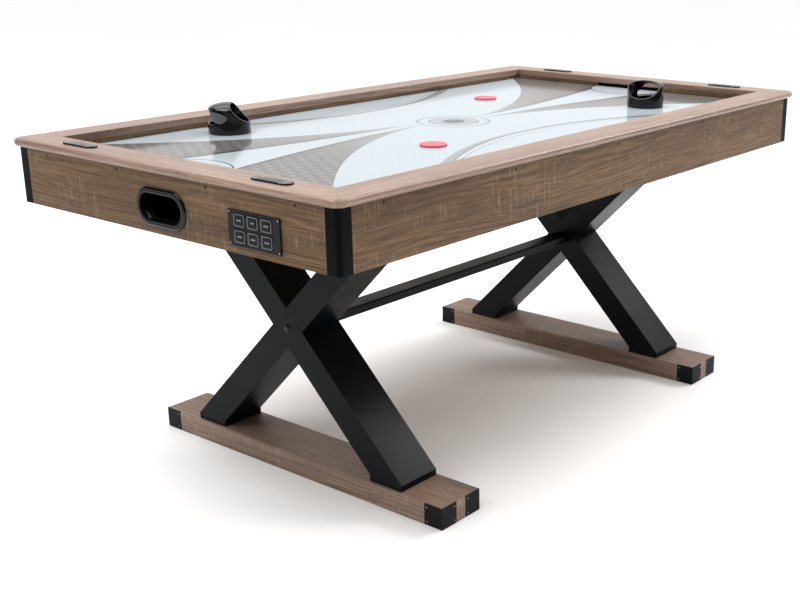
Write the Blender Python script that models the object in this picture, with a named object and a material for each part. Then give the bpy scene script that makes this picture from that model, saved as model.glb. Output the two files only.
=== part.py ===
"""Air hockey table on two crossed-leg frames, as an assembly of separate solids.

Frame: metres, +Z up, +X along the table's length, origin on the floor under its centre.
"left" is -X (the end with the control panel), "front" is -Y.
"""

import math

import bmesh
import bpy
from mathutils import Matrix, Vector

# ---------------------------------------------------------------- driving dimensions
LENGTH = 1.829                # over the top rails
WIDTH = 1.016
HEIGHT = 0.780                # floor to the top of the rails
GAP = 0.0003                  # between pieces that touch

RAIL_THICKNESS = 0.018
RAIL_WIDTH = 0.080
RAIL_OVERHANG = 0.013         # beyond the aprons
RAIL_CORNER_RADIUS = 0.028
RAIL_NOSE_RADIUS = 0.009
RAIL_EDGE_RADIUS = 0.002

APRON_THICKNESS = 0.018
APRON_BOTTOM = 0.636
POST_SIZE = 0.033
POST_RADIUS = 0.010

FIELD_DEPTH = 0.028           # rail top down to the playing surface
FIELD_THICKNESS = 0.006
FIELD_END = 0.868             # half length, under the end walls
WALL_THICKNESS = 0.018
GOAL_WIDTH = 0.236
GOAL_CHEEK = 0.018
GOAL_BACKSTOP = 0.008

TRAY_END = 0.785              # half length of the air chamber
TRAY_WALL = 0.015
TRAY_FLOOR = 0.012
TRAY_BOTTOM = 0.6653
AIR_HOLE_RADIUS = 0.054

BLOWER_SIZE = 0.120
BLOWER_DEPTH = 0.025
BLOWER_BORE_RADIUS = 0.0565
BLOWER_CORNER_RADIUS = 0.006
BLOWER_HUB_RADIUS = 0.022
SPIDER_ARMS = 4
SPIDER_HALF_WIDTH = 0.003
SPIDER_THICKNESS = 0.0025
MOTOR_RADIUS = 0.0195
MOTOR_HEIGHT = 0.0155
IMPELLER_HUB_RADIUS = 0.0245
IMPELLER_RADIUS = 0.0545
IMPELLER_BLADES = 7
IMPELLER_CLEARANCE = 0.001
MOTOR_CLEARANCE = 0.0013      # between the motor's can and the impeller's cup
BLADE_HALF_PITCH = 0.0075
BLADE_HALF_THICKNESS = 0.0009
BLADE_ROOT = 0.0015           # how far a blade reaches into the hub

RETURN_LENGTH = 0.154         # puck-return surround, along Y
RETURN_HEIGHT = 0.080
RETURN_Z = 0.691
RETURN_LIP = 0.012            # width of the surround's rim
RETURN_PROUD = 0.005
RETURN_MARGIN = 0.004         # the rim covers the apron's hole by this much
POCKET_DEPTH = 0.086
POCKET_WIDTH = 0.246
POCKET_BOTTOM = 0.6555
POCKET_WALL = 0.003

PANEL_LENGTH = 0.143
PANEL_HEIGHT = 0.0695
PANEL_THICKNESS = 0.004
PANEL_Y = -0.2765
PANEL_Z = 0.687
KEY_LENGTH = 0.034
KEY_HEIGHT = 0.029
KEY_PITCH_Y = 0.0375
KEY_PITCH_Z = 0.0315
KEY_GRID_OFFSET = 0.0025      # the grid sits a little off the plate's middle
KEY_PROUD = 0.0004
KEY_DEPTH = 0.0064
KEY_RADIUS = 0.004
KEY_CLEARANCE = 0.0003
KEY_WINDOW_MARGIN = 0.002
BOARD_THICKNESS = 0.0016
BOARD_SPACE = 0.003           # behind the keys
BOARD_INSET = 0.0005

DISPLAY_LENGTH = 0.104
DISPLAY_WIDTH = 0.028
DISPLAY_HEIGHT = 0.0035
DISPLAY_EDGE = 0.0015
DISPLAY_Y = 0.300

FOOT_X = 0.538
FOOT_WIDTH = 0.127
FOOT_HEIGHT = 0.051
FOOT_LENGTH = 0.922
CAP_LONG = 0.050              # corner plate, along the beam's side
CAP_END = 0.048               # corner plate, along the beam's end
CAP_THICKNESS = 0.003
CAP_INSET = 0.0005            # short of the beam's top and bottom

LEG_X = 0.537
LEG_DEPTH = 0.114
LEG_WIDTH = 0.095             # measured level, across the 45 degree beam
LEG_FOOT_Y = 0.2925           # middle of the leg where it stands

STRETCHER_WIDTH = 0.052
STRETCHER_TOP = 0.3655
STRETCHER_BOTTOM = 0.3435
STRETCHER_RADIUS = 0.004
BOLT_RADIUS = 0.004
BOLT_HEAD_RADIUS = 0.009
BOLT_HEAD_HEIGHT = 0.004
BOLT_GRIP = 0.020             # length inside the stretcher
BOLT_END_ROOM = 0.001

PUSHER_RADIUS = 0.050
PUSHER_WALL = 0.0035
PUSHER_SIDE_HEIGHT = 0.052    # where the dome starts
PUSHER_HEIGHT = 0.0705
PUSHER_FLOOR = 0.004
PUSHER_GRIP_RADIUS = 0.0482   # the side walls step in to this at the finger grips
PUSHER_FRONT = ((0.004, 0.085), (0.008, 0.064), (0.030, 0.037), (0.051, 0.0235), (0.065, 0.020))
PUSHER_GRIP = ((-0.060, 0.0205), (-0.030, 0.0215), (-0.006, 0.029), (0.006, 0.043),
               (-0.006, 0.055), (-0.030, 0.0585), (-0.060, 0.061))
PUSHER_BACK = ((-0.060, 0.0205), (-0.034, 0.0210), (-0.0310, 0.0240), (-0.0360, 0.0380),
               (-0.0440, 0.0550), (-0.0480, 0.0590), (-0.060, 0.0600))
FELT_THICKNESS = 0.0015
FELT_RADIUS = 0.048
PUSHERS = {"left": (-0.460, 0.3155, -47.0), "right": (0.5414, -0.2336, 191.0)}

PUCK_RADIUS = 0.03175
PUCK_HEIGHT = 0.0045
PUCK_CHAMFER = 0.0008
PUCKS = {"left": (-0.288, -0.180), "right": (0.381, 0.2043)}

INLET_Y = 0.350
INLET_Z = 0.672
INLET_FLANGE = (0.030, 0.024)
INLET_FLANGE_THICKNESS = 0.002
INLET_BODY = (0.022, 0.016)
INLET_DEPTH = 0.022
INLET_SOCKET_RADIUS = 0.0045
INLET_SOCKET_DEPTH = 0.012

# ---------------------------------------------------------------- derived places
APRON_X = LENGTH / 2 - RAIL_OVERHANG
APRON_Y = WIDTH / 2 - RAIL_OVERHANG
RAIL_BOTTOM = HEIGHT - RAIL_THICKNESS
APRON_TOP = RAIL_BOTTOM - GAP
APRON_INNER_X = APRON_X - APRON_THICKNESS
APRON_INNER_Y = APRON_Y - APRON_THICKNESS
PLAY_X = LENGTH / 2 - RAIL_WIDTH
PLAY_Y = WIDTH / 2 - RAIL_WIDTH
FIELD_TOP = HEIGHT - FIELD_DEPTH
FIELD_BOTTOM = FIELD_TOP - FIELD_THICKNESS
CROSS_Z = (FOOT_HEIGHT + GAP + TRAY_BOTTOM - GAP) / 2
SIDES = {"left": -1, "right": 1}
FACES = {"front": -1, "back": 1}
CUT_MARGIN = 0.010            # how far a cutter passes the face it opens
JOIN_OVERLAP = 0.001          # how far a joined solid reaches into its target
CURVE_STEPS = 4


# ---------------------------------------------------------------- scene and mesh helpers
def clear_scene():
    """Start from an empty scene."""
    for obj in list(bpy.data.objects):
        bpy.data.objects.remove(obj, do_unlink=True)


def material(name, colour, roughness, metallic=0.0):
    """A plain Principled material."""
    mat = bpy.data.materials.new(name)
    mat.use_nodes = True
    shader = mat.node_tree.nodes["Principled BSDF"]
    shader.inputs["Base Color"].default_value = (*colour, 1.0)
    shader.inputs["Roughness"].default_value = roughness
    shader.inputs["Metallic"].default_value = metallic
    return mat


FINISHES = {
    "oak": ((0.24, 0.16, 0.11), 0.55, 0.0),
    "oak_rail": ((0.42, 0.31, 0.25), 0.45, 0.0),
    "black_paint": ((0.012, 0.014, 0.018), 0.42, 0.0),
    "black_plastic": ((0.015, 0.015, 0.017), 0.35, 0.0),
    "gloss_black": ((0.01, 0.01, 0.012), 0.12, 0.0),
    "playfield": ((0.80, 0.84, 0.85), 0.12, 0.0),
    "puck_red": ((0.80, 0.13, 0.15), 0.35, 0.0),
    "felt": ((0.05, 0.05, 0.055), 0.95, 0.0),
    "display": ((0.20, 0.18, 0.18), 0.20, 0.0),
    "board_green": ((0.03, 0.15, 0.07), 0.50, 0.0),
    "mdf": ((0.36, 0.26, 0.17), 0.80, 0.0),
    "steel": ((0.35, 0.35, 0.36), 0.35, 1.0),
}


def add_object(name, bm, finish, location=(0, 0, 0), turn=0.0):
    """Make a named object of a bmesh; it is placed by its location and its turn about Z."""
    bmesh.ops.recalc_face_normals(bm, faces=bm.faces)
    mesh = bpy.data.meshes.new(name)
    bm.to_mesh(mesh)
    bm.free()
    mesh.shade_smooth()
    mesh.set_sharp_from_angle(angle=math.radians(35))
    mesh.materials.append(material(name, *FINISHES[finish]))
    obj = bpy.data.objects.new(name, mesh)
    obj.location = location
    obj.rotation_euler.z = turn
    bpy.context.scene.collection.objects.link(obj)
    return obj


def box_mesh(low, high):
    """A closed box between two corners."""
    bm = bmesh.new()
    size = Vector(high) - Vector(low)
    centre = (Vector(high) + Vector(low)) / 2
    bmesh.ops.create_cube(bm, size=1.0, matrix=Matrix.Translation(centre) @ Matrix.Diagonal((*size, 1)))
    return bm


def prism_mesh(outline, axis, low, high):
    """Extrude an outline of (u, v) points along an axis.

    Along X the outline is (y, z), along Y it is (x, z) and along Z it is (x, y).
    """
    place = {
        "x": lambda u, v, w: (w, u, v),
        "y": lambda u, v, w: (u, w, v),
        "z": lambda u, v, w: (u, v, w),
    }[axis]
    bm = bmesh.new()
    rings = [[bm.verts.new(place(u, v, w)) for u, v in outline] for w in (low, high)]
    bm.faces.new(rings[0])
    bm.faces.new(list(reversed(rings[1])))
    count = len(outline)
    for i in range(count):
        j = (i + 1) % count
        bm.faces.new((rings[0][i], rings[1][i], rings[1][j], rings[0][j]))
    return bm


def revolve_mesh(profile, segments=48):
    """Turn a profile of (radius, z) points, from axis to axis, about Z."""
    bm = bmesh.new()
    rings = []
    for radius, z in profile:
        if radius < 1e-6:
            rings.append([bm.verts.new((0, 0, z))])
            continue
        angles = [2 * math.pi * k / segments for k in range(segments)]
        rings.append([bm.verts.new((radius * math.cos(a), radius * math.sin(a), z)) for a in angles])
    for lower, upper in zip(rings, rings[1:]):
        for i in range(segments):
            j = (i + 1) % segments
            if len(lower) == 1:
                bm.faces.new((lower[0], upper[i], upper[j]))
            elif len(upper) == 1:
                bm.faces.new((lower[i], upper[0], lower[j]))
            else:
                bm.faces.new((lower[i], upper[i], upper[j], lower[j]))
    return bm


def arc(centre, radius, start, end, count):
    """Points on an arc, angles in degrees."""
    points = []
    for k in range(count + 1):
        a = math.radians(start + (end - start) * k / count)
        points.append((centre[0] + radius * math.cos(a), centre[1] + radius * math.sin(a)))
    return points


def rounded_rectangle(centre, width, height, radius, count=4):
    """Outline of a rectangle with round corners."""
    points = []
    corners = ((1, 1, 0), (-1, 1, 90), (-1, -1, 180), (1, -1, 270))
    for sx, sy, start in corners:
        middle = (centre[0] + sx * (width / 2 - radius), centre[1] + sy * (height / 2 - radius))
        points += arc(middle, radius, start, start + 90, count)
    return points


def stadium(centre, length, height, count=12):
    """Outline of a slot with round ends, long along its first coordinate."""
    radius = height / 2
    reach = length / 2 - radius
    right = arc((centre[0] + reach, centre[1]), radius, -90, 90, count)
    return right + arc((centre[0] - reach, centre[1]), radius, 90, 270, count)


def smooth_curve(points, steps):
    """Catmull-Rom curve through a few (u, v) points."""
    ends = [points[0]] + list(points) + [points[-1]]
    result = []
    for p0, p1, p2, p3 in zip(ends, ends[1:], ends[2:], ends[3:]):
        for k in range(steps):
            t = k / steps
            blend = []
            for a, b, c, d in zip(p0, p1, p2, p3):
                blend.append(0.5 * (2 * b + (c - a) * t + (2 * a - 5 * b + 4 * c - d) * t * t
                                    + (3 * b - a - 3 * c + d) * t ** 3))
            result.append(tuple(blend))
    result.append(tuple(points[-1]))
    return result


def cut(target, bm, name, operation="DIFFERENCE"):
    """Apply a Boolean to an object with a hidden cutter, in the target's own frame."""
    cutter = add_object(name, bm, "steel", target.location, target.rotation_euler.z)
    cutter.hide_render = True
    cutter.display_type = "WIRE"
    modifier = target.modifiers.new(name, "BOOLEAN")
    modifier.operation = operation
    modifier.solver = "EXACT"
    modifier.object = cutter


# ---------------------------------------------------------------- cabinet
def build_aprons():
    """Four veneered boards between the corner posts, with their openings."""
    half_y = APRON_Y - POST_SIZE - GAP
    half_x = APRON_X - POST_SIZE - GAP
    for side, sign in SIDES.items():
        xs = sorted((sign * APRON_INNER_X, sign * APRON_X))
        bm = box_mesh((xs[0], -half_y, APRON_BOTTOM), (xs[1], half_y, APRON_TOP))
        board = add_object(f"apron_end_{side}", bm, "oak")
        reach = (xs[0] - CUT_MARGIN, xs[1] + CUT_MARGIN)
        hole = stadium((0, RETURN_Z), RETURN_LENGTH - 2 * RETURN_MARGIN, RETURN_HEIGHT - 2 * RETURN_MARGIN)
        cut(board, prism_mesh(hole, "x", *reach), f"cut_return_{side}")
        if side == "left":
            low, high = key_window()
            cut(board, box_mesh((reach[0], *low), (reach[1], *high)), "cut_keys")
        else:
            width, height = (size + 2 * GAP for size in INLET_BODY)
            window = rounded_rectangle((INLET_Y, INLET_Z), width, height, INLET_FLANGE_THICKNESS)
            cut(board, prism_mesh(window, "x", *reach), "cut_inlet")
    for face, sign in FACES.items():
        ys = sorted((sign * APRON_INNER_Y, sign * APRON_Y))
        bm = box_mesh((-half_x, ys[0], APRON_BOTTOM), (half_x, ys[1], APRON_TOP))
        add_object(f"apron_side_{face}", bm, "oak")


def build_posts():
    """Corner posts, square with one round outer edge."""
    for side, sx in SIDES.items():
        for face, sy in FACES.items():
            inner = (APRON_X - POST_SIZE, APRON_Y - POST_SIZE)
            outline = [inner, (APRON_X, inner[1])]
            outline += arc((APRON_X - POST_RADIUS, APRON_Y - POST_RADIUS), POST_RADIUS, 0, 90, 6)
            outline += [(inner[0], APRON_Y)]
            outline = [(sx * x, sy * y) for x, y in outline]
            bm = prism_mesh(outline, "z", APRON_BOTTOM, APRON_TOP)
            add_object(f"corner_post_{side}_{face}", bm, "black_plastic")


def rail_profile():
    """Section of a rail as (distance inward from the outer edge, z), outer edge first."""
    nose = RAIL_NOSE_RADIUS
    edge = RAIL_EDGE_RADIUS
    section = arc((edge, RAIL_BOTTOM + edge), edge, 270, 180, 2)
    section += arc((nose, HEIGHT - nose), nose, 180, 90, 6)
    section += [(RAIL_CORNER_RADIUS, HEIGHT)]
    section += arc((RAIL_WIDTH - edge, HEIGHT - edge), edge, 90, 0, 2)
    section += [(RAIL_WIDTH, RAIL_BOTTOM), (RAIL_CORNER_RADIUS, RAIL_BOTTOM)]
    return section


def rail_corner_point(depth, angle):
    """Plan position (along the rail, inward) of a section point at a rounded, mitred corner.

    The outer strip follows the corner's arc; past the arc's centre it stays on the mitre line.
    """
    if depth >= RAIL_CORNER_RADIUS:
        return depth, depth
    radius = RAIL_CORNER_RADIUS - depth
    along = RAIL_CORNER_RADIUS - radius * math.cos(angle)
    inward = RAIL_CORNER_RADIUS - radius * math.sin(angle)
    return along, inward


def build_rail(name, half_length, half_width, turn):
    """One top rail along its own X at -Y, with mitred ends and half of each round corner."""
    steps = 5
    angles = [math.radians(45 + 45 * k / steps) for k in range(steps + 1)]
    mitre_gap = 0.7 * GAP
    section = rail_profile()
    bm = bmesh.new()
    rings = []
    for angle in angles:
        ring = []
        for depth, z in section:
            along, inward = rail_corner_point(depth, angle)
            ring.append(bm.verts.new((-half_length + mitre_gap + along, -half_width + inward, z)))
        rings.append(ring)
    for ring in list(reversed(rings)):
        rings.append([bm.verts.new((-v.co.x, v.co.y, v.co.z)) for v in ring])
    count = len(section)
    for a, b in zip(rings, rings[1:]):
        for i in range(count):
            j = (i + 1) % count
            bm.faces.new((a[i], a[j], b[j], b[i]))
    bm.faces.new(rings[0])
    bm.faces.new(list(reversed(rings[-1])))
    bmesh.ops.remove_doubles(bm, verts=bm.verts, dist=1e-6)
    bmesh.ops.dissolve_degenerate(bm, dist=1e-6, edges=bm.edges)
    add_object(name, bm, "oak_rail", turn=turn)


def build_rails():
    """Two long and two short rails."""
    build_rail("rail_side_front", LENGTH / 2, WIDTH / 2, 0.0)
    build_rail("rail_side_back", LENGTH / 2, WIDTH / 2, math.pi)
    build_rail("rail_end_left", WIDTH / 2, LENGTH / 2, -math.pi / 2)
    build_rail("rail_end_right", WIDTH / 2, LENGTH / 2, math.pi / 2)


def build_walls():
    """Low walls round the playing surface; the end walls step back round the goals."""
    low = FIELD_TOP + GAP
    for face, sign in FACES.items():
        ys = sorted((sign * PLAY_Y, sign * (PLAY_Y + WALL_THICKNESS)))
        bm = box_mesh((-FIELD_END, ys[0], low), (FIELD_END, ys[1], APRON_TOP))
        add_object(f"wall_side_{face}", bm, "oak")
    end_y = PLAY_Y - GAP
    goal_y = GOAL_WIDTH / 2
    cheek_y = goal_y + GOAL_CHEEK
    back_x = APRON_INNER_X - GAP
    stop_x = back_x - GOAL_BACKSTOP
    half = [(PLAY_X, goal_y), (PLAY_X, end_y), (PLAY_X + WALL_THICKNESS, end_y),
            (PLAY_X + WALL_THICKNESS, cheek_y), (back_x, cheek_y)]
    mirrored = [(x, -y) for x, y in reversed(half)]
    outline = [(stop_x, goal_y)] + half + mirrored + [(stop_x, -goal_y)]
    for side, sign in SIDES.items():
        bm = prism_mesh([(sign * x, y) for x, y in outline], "z", low, APRON_TOP)
        add_object(f"wall_end_{side}", bm, "oak")


def build_playfield():
    """The playing board, with a notch at each goal for the puck to drop through."""
    low = (-FIELD_END, -(APRON_INNER_Y - GAP), FIELD_BOTTOM)
    high = (FIELD_END, APRON_INNER_Y - GAP, FIELD_TOP)
    board = add_object("playfield", box_mesh(low, high), "playfield")
    goal_y = GOAL_WIDTH / 2
    for side, sign in SIDES.items():
        xs = sorted((sign * PLAY_X, sign * (FIELD_END + CUT_MARGIN)))
        notch = box_mesh((xs[0], -goal_y, FIELD_BOTTOM - CUT_MARGIN), (xs[1], goal_y, FIELD_TOP + CUT_MARGIN))
        cut(board, notch, f"cut_goal_{side}")


def build_air_tray():
    """The air chamber under the field: a floor from apron to apron with a raised frame."""
    floor_top = TRAY_BOTTOM + TRAY_FLOOR
    frame_top = FIELD_BOTTOM - GAP
    outer_y = APRON_INNER_Y - GAP
    section = [(-outer_y, TRAY_BOTTOM), (outer_y, TRAY_BOTTOM), (outer_y, floor_top),
               (PLAY_Y + TRAY_WALL, floor_top), (PLAY_Y + TRAY_WALL, frame_top),
               (-PLAY_Y - TRAY_WALL, frame_top), (-PLAY_Y - TRAY_WALL, floor_top),
               (-outer_y, floor_top)]
    tray = add_object("air_tray", prism_mesh(section, "x", -TRAY_END, TRAY_END), "mdf")
    inner_x = TRAY_END - TRAY_WALL
    hollow = box_mesh((-inner_x, -PLAY_Y, floor_top), (inner_x, PLAY_Y, frame_top + CUT_MARGIN))
    cut(tray, hollow, "cut_chamber")
    ring = arc((0, 0), AIR_HOLE_RADIUS, 0, 360, 32)[:-1]
    cut(tray, prism_mesh(ring, "z", TRAY_BOTTOM - CUT_MARGIN, floor_top + CUT_MARGIN), "cut_air_hole")


# ---------------------------------------------------------------- blower
def build_blower():
    """Axial blower under the chamber: a square case, its motor and its impeller."""
    top = TRAY_BOTTOM - GAP
    bottom = top - BLOWER_DEPTH
    plate = bottom + SPIDER_THICKNESS
    outline = rounded_rectangle((0, 0), BLOWER_SIZE, BLOWER_SIZE, BLOWER_CORNER_RADIUS)
    case = add_object("blower_case", prism_mesh(outline, "z", bottom, top), "black_plastic")
    ring = arc((0, 0), BLOWER_BORE_RADIUS, 0, 360, 32)[:-1]
    cut(case, prism_mesh(ring, "z", bottom - CUT_MARGIN, top + CUT_MARGIN), "cut_bore")
    spider = []
    half_arm = math.degrees(math.asin(SPIDER_HALF_WIDTH / BLOWER_HUB_RADIUS))
    for k in range(SPIDER_ARMS):
        middle = 45 + 360 * k / SPIDER_ARMS
        direction = Vector((math.cos(math.radians(middle)), math.sin(math.radians(middle))))
        across = Vector((-direction.y, direction.x)) * SPIDER_HALF_WIDTH
        end = direction * (BLOWER_BORE_RADIUS + JOIN_OVERLAP)
        spider += [tuple(end - across), tuple(end + across)]
        hub_start = middle + half_arm
        hub_end = middle + 360 / SPIDER_ARMS - half_arm
        spider += arc((0, 0), BLOWER_HUB_RADIUS, hub_start, hub_end, 5)
    cut(case, prism_mesh(spider, "z", bottom, plate), "join_spider", "UNION")

    motor_bottom = plate + GAP
    motor_top = plate + MOTOR_HEIGHT
    can = [(0, motor_bottom), (MOTOR_RADIUS, motor_bottom), (MOTOR_RADIUS, motor_top), (0, motor_top)]
    add_object("blower_motor", revolve_mesh(can, 32), "steel")
    build_impeller(motor_top + IMPELLER_CLEARANCE, plate + 1.5 * IMPELLER_CLEARANCE, top - IMPELLER_CLEARANCE)


def build_impeller(cup_inside, low, high):
    """Impeller: a cup over the motor with pitched blades."""
    inner = MOTOR_RADIUS + MOTOR_CLEARANCE
    chamfer = IMPELLER_CLEARANCE
    cup = [(0, cup_inside), (inner, cup_inside), (inner, low), (IMPELLER_HUB_RADIUS, low),
           (IMPELLER_HUB_RADIUS, high - chamfer), (IMPELLER_HUB_RADIUS - chamfer, high), (0, high)]
    fan = add_object("blower_impeller", revolve_mesh(cup, 32), "black_plastic")
    blades = bmesh.new()
    blade_low, blade_high = low + IMPELLER_CLEARANCE, high - IMPELLER_CLEARANCE
    for k in range(IMPELLER_BLADES):
        spin = Matrix.Rotation(2 * math.pi * k / IMPELLER_BLADES, 4, "Z")
        corners = []
        for radius in (IMPELLER_HUB_RADIUS - BLADE_ROOT, IMPELLER_RADIUS):
            for y, z in ((-BLADE_HALF_PITCH, blade_low), (BLADE_HALF_PITCH, blade_high)):
                for offset in (-BLADE_HALF_THICKNESS, BLADE_HALF_THICKNESS):
                    corners.append(blades.verts.new(spin @ Vector((radius, y + offset, z))))
        a, b, c, d, e, f, g, h = corners
        for face in ((a, b, d, c), (e, g, h, f), (a, e, f, b), (c, d, h, g), (a, c, g, e), (b, f, h, d)):
            blades.faces.new(face)
    cut(fan, blades, "join_blades", "UNION")


# ---------------------------------------------------------------- puck return
def build_puck_returns():
    """At each end, one moulding: the oval surround, its throat and the pocket behind it."""
    for side, sign in SIDES.items():
        def span(a, b):
            return sorted((sign * a, sign * b))
        face_x = APRON_X + RETURN_PROUD
        back_x = APRON_INNER_X - GAP
        pocket_x = back_x - POCKET_DEPTH
        half_y = POCKET_WIDTH / 2
        top = FIELD_BOTTOM - 2 * GAP
        xs = span(pocket_x, back_x)
        moulding = add_object(f"puck_return_{side}", box_mesh((xs[0], -half_y, POCKET_BOTTOM),
                                                              (xs[1], half_y, top)), "black_plastic")
        narrower = 2 * (RETURN_MARGIN + GAP)
        throat = stadium((0, RETURN_Z), RETURN_LENGTH - narrower, RETURN_HEIGHT - narrower)
        cut(moulding, prism_mesh(throat, "x", *span(back_x - JOIN_OVERLAP, APRON_X + GAP + JOIN_OVERLAP)),
            f"join_throat_{side}", "UNION")
        rim = surround_mesh(sign, APRON_X + GAP, face_x)
        cut(moulding, rim, f"join_rim_{side}", "UNION")
        hollow_x = span(pocket_x + POCKET_WALL, back_x - POCKET_WALL)
        hollow_y = half_y - POCKET_WALL
        hollow = box_mesh((hollow_x[0], -hollow_y, POCKET_BOTTOM + POCKET_WALL),
                          (hollow_x[1], hollow_y, top + CUT_MARGIN))
        cut(moulding, hollow, f"cut_pocket_{side}")
        mouth = stadium((0, RETURN_Z), RETURN_LENGTH - 2 * RETURN_LIP, RETURN_HEIGHT - 2 * RETURN_LIP)
        mouth_cutter = prism_mesh(mouth, "x", *span(back_x - CUT_MARGIN, face_x + CUT_MARGIN))
        cut(moulding, mouth_cutter, f"cut_mouth_{side}")


def surround_mesh(sign, back, face):
    """The oval rim as stacked outlines, its outer edge rounded towards the face."""
    radius = face - back
    bm = bmesh.new()
    rings = []
    levels = [(0.0, 0.0)] + [(radius * (1 - math.cos(math.radians(a))), radius * math.sin(math.radians(a)))
                             for a in (30, 60, 90)]
    for inset, rise in levels:
        outline = stadium((0, RETURN_Z), RETURN_LENGTH - 2 * inset, RETURN_HEIGHT - 2 * inset)
        rings.append([bm.verts.new((sign * (back + rise), y, z)) for y, z in outline])
    bm.faces.new(rings[0])
    bm.faces.new(list(reversed(rings[-1])))
    for a, b in zip(rings, rings[1:]):
        for i in range(len(a)):
            j = (i + 1) % len(a)
            bm.faces.new((a[i], b[i], b[j], a[j]))
    return bm


# ---------------------------------------------------------------- controls
def key_centres():
    """Row, column and (y, z) of each key, seen from outside, top left first."""
    centres = []
    for row in range(2):
        for column in range(3):
            y = PANEL_Y + KEY_GRID_OFFSET + (1 - column) * KEY_PITCH_Y
            z = PANEL_Z + (0.5 - row) * KEY_PITCH_Z
            centres.append((row, column, y, z))
    return centres


def key_window():
    """Low and high (y, z) corners of the apron's cut-out behind the keys."""
    half_y = KEY_PITCH_Y + KEY_LENGTH / 2 + KEY_WINDOW_MARGIN
    half_z = KEY_PITCH_Z / 2 + KEY_HEIGHT / 2 + KEY_WINDOW_MARGIN
    centre_y = PANEL_Y + KEY_GRID_OFFSET
    return (centre_y - half_y, PANEL_Z - half_z), (centre_y + half_y, PANEL_Z + half_z)


def build_controls():
    """The panel on the left end: a plate, six keys and the circuit board behind them."""
    back = -APRON_X - GAP
    face = back - PANEL_THICKNESS
    outline = rounded_rectangle((PANEL_Y, PANEL_Z), PANEL_LENGTH, PANEL_HEIGHT, 0.002, 2)
    plate = add_object("control_panel", prism_mesh(outline, "x", face, back), "black_plastic")
    for row, column, y, z in key_centres():
        name = f"key_{'top' if row == 0 else 'bottom'}_{column + 1}"
        wide, high = (size + 2 * KEY_CLEARANCE for size in (KEY_LENGTH, KEY_HEIGHT))
        well = rounded_rectangle((y, z), wide, high, KEY_RADIUS, 3)
        cut(plate, prism_mesh(well, "x", face - CUT_MARGIN, back + CUT_MARGIN), f"cut_{name}")
        cap = rounded_rectangle((y, z), KEY_LENGTH, KEY_HEIGHT, KEY_RADIUS, 3)
        add_object(name, prism_mesh(cap, "x", face - KEY_PROUD, face - KEY_PROUD + KEY_DEPTH), "black_plastic")
    low, high = key_window()
    board_x = face - KEY_PROUD + KEY_DEPTH + BOARD_SPACE
    board = box_mesh((board_x, low[0] + BOARD_INSET, low[1] + BOARD_INSET),
                     (board_x + BOARD_THICKNESS, high[0] - BOARD_INSET, high[1] - BOARD_INSET))
    add_object("control_board", board, "board_green")


def build_displays():
    """Four score displays, round-ended pills on the end rails."""
    middle_x = LENGTH / 2 - RAIL_WIDTH / 2
    for side, sx in SIDES.items():
        for face, sy in FACES.items():
            bm = bmesh.new()
            rings = []
            base = HEIGHT + GAP
            for inset, z in ((0, base), (0, base + DISPLAY_HEIGHT - DISPLAY_EDGE),
                             (DISPLAY_EDGE, base + DISPLAY_HEIGHT)):
                outline = stadium((0, 0), DISPLAY_LENGTH - 2 * inset, DISPLAY_WIDTH - 2 * inset, 8)
                rings.append([bm.verts.new((v, u, z)) for u, v in outline])
            bm.faces.new(rings[0])
            bm.faces.new(list(reversed(rings[-1])))
            for a, b in zip(rings, rings[1:]):
                for i in range(len(a)):
                    j = (i + 1) % len(a)
                    bm.faces.new((a[i], b[i], b[j], a[j]))
            place = (sx * middle_x, sy * DISPLAY_Y, 0)
            add_object(f"score_display_{side}_{face}", bm, "display", place)


def build_power_inlet():
    """Low-voltage inlet in the right end apron: a flange, a body and its socket."""
    back = APRON_X + GAP
    centre = (INLET_Y, INLET_Z)
    flange = rounded_rectangle(centre, *INLET_FLANGE, 1.5 * INLET_FLANGE_THICKNESS, 3)
    flange_mesh = prism_mesh(flange, "x", back, back + INLET_FLANGE_THICKNESS)
    inlet = add_object("power_inlet", flange_mesh, "black_plastic")
    body = rounded_rectangle(centre, *INLET_BODY, INLET_FLANGE_THICKNESS)
    cut(inlet, prism_mesh(body, "x", back - INLET_DEPTH, back + JOIN_OVERLAP), "join_inlet_body", "UNION")
    socket = arc(centre, INLET_SOCKET_RADIUS, 0, 360, 20)[:-1]
    cut(inlet, prism_mesh(socket, "x", back - INLET_SOCKET_DEPTH, back + CUT_MARGIN), "cut_inlet_socket")


# ---------------------------------------------------------------- base
def leg_outline(sign):
    """A 45 degree beam with short upright ends, as (y, z); it stands on the sign side."""
    half = LEG_WIDTH / 2
    bottom = FOOT_HEIGHT + GAP
    top = TRAY_BOTTOM - GAP
    toe = CROSS_Z - LEG_FOOT_Y
    points = [(LEG_FOOT_Y - half, bottom), (LEG_FOOT_Y + half, bottom), (LEG_FOOT_Y + half, toe),
              (-LEG_FOOT_Y + half, 2 * CROSS_Z - toe), (-LEG_FOOT_Y + half, top),
              (-LEG_FOOT_Y - half, top), (-LEG_FOOT_Y - half, 2 * CROSS_Z - toe),
              (LEG_FOOT_Y - half, toe)]
    return [(sign * y, z) for y, z in points]


def crossing_outline(sign):
    """The stretch of the other beam that a half-lap makes room for, with its clearance."""
    half = LEG_WIDTH / 2 + 1.5 * GAP
    reach = LEG_WIDTH
    points = [(reach - half, CROSS_Z - reach), (reach + half, CROSS_Z - reach),
              (-reach + half, CROSS_Z + reach), (-reach - half, CROSS_Z + reach)]
    return [(sign * y, z) for y, z in points]


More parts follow.
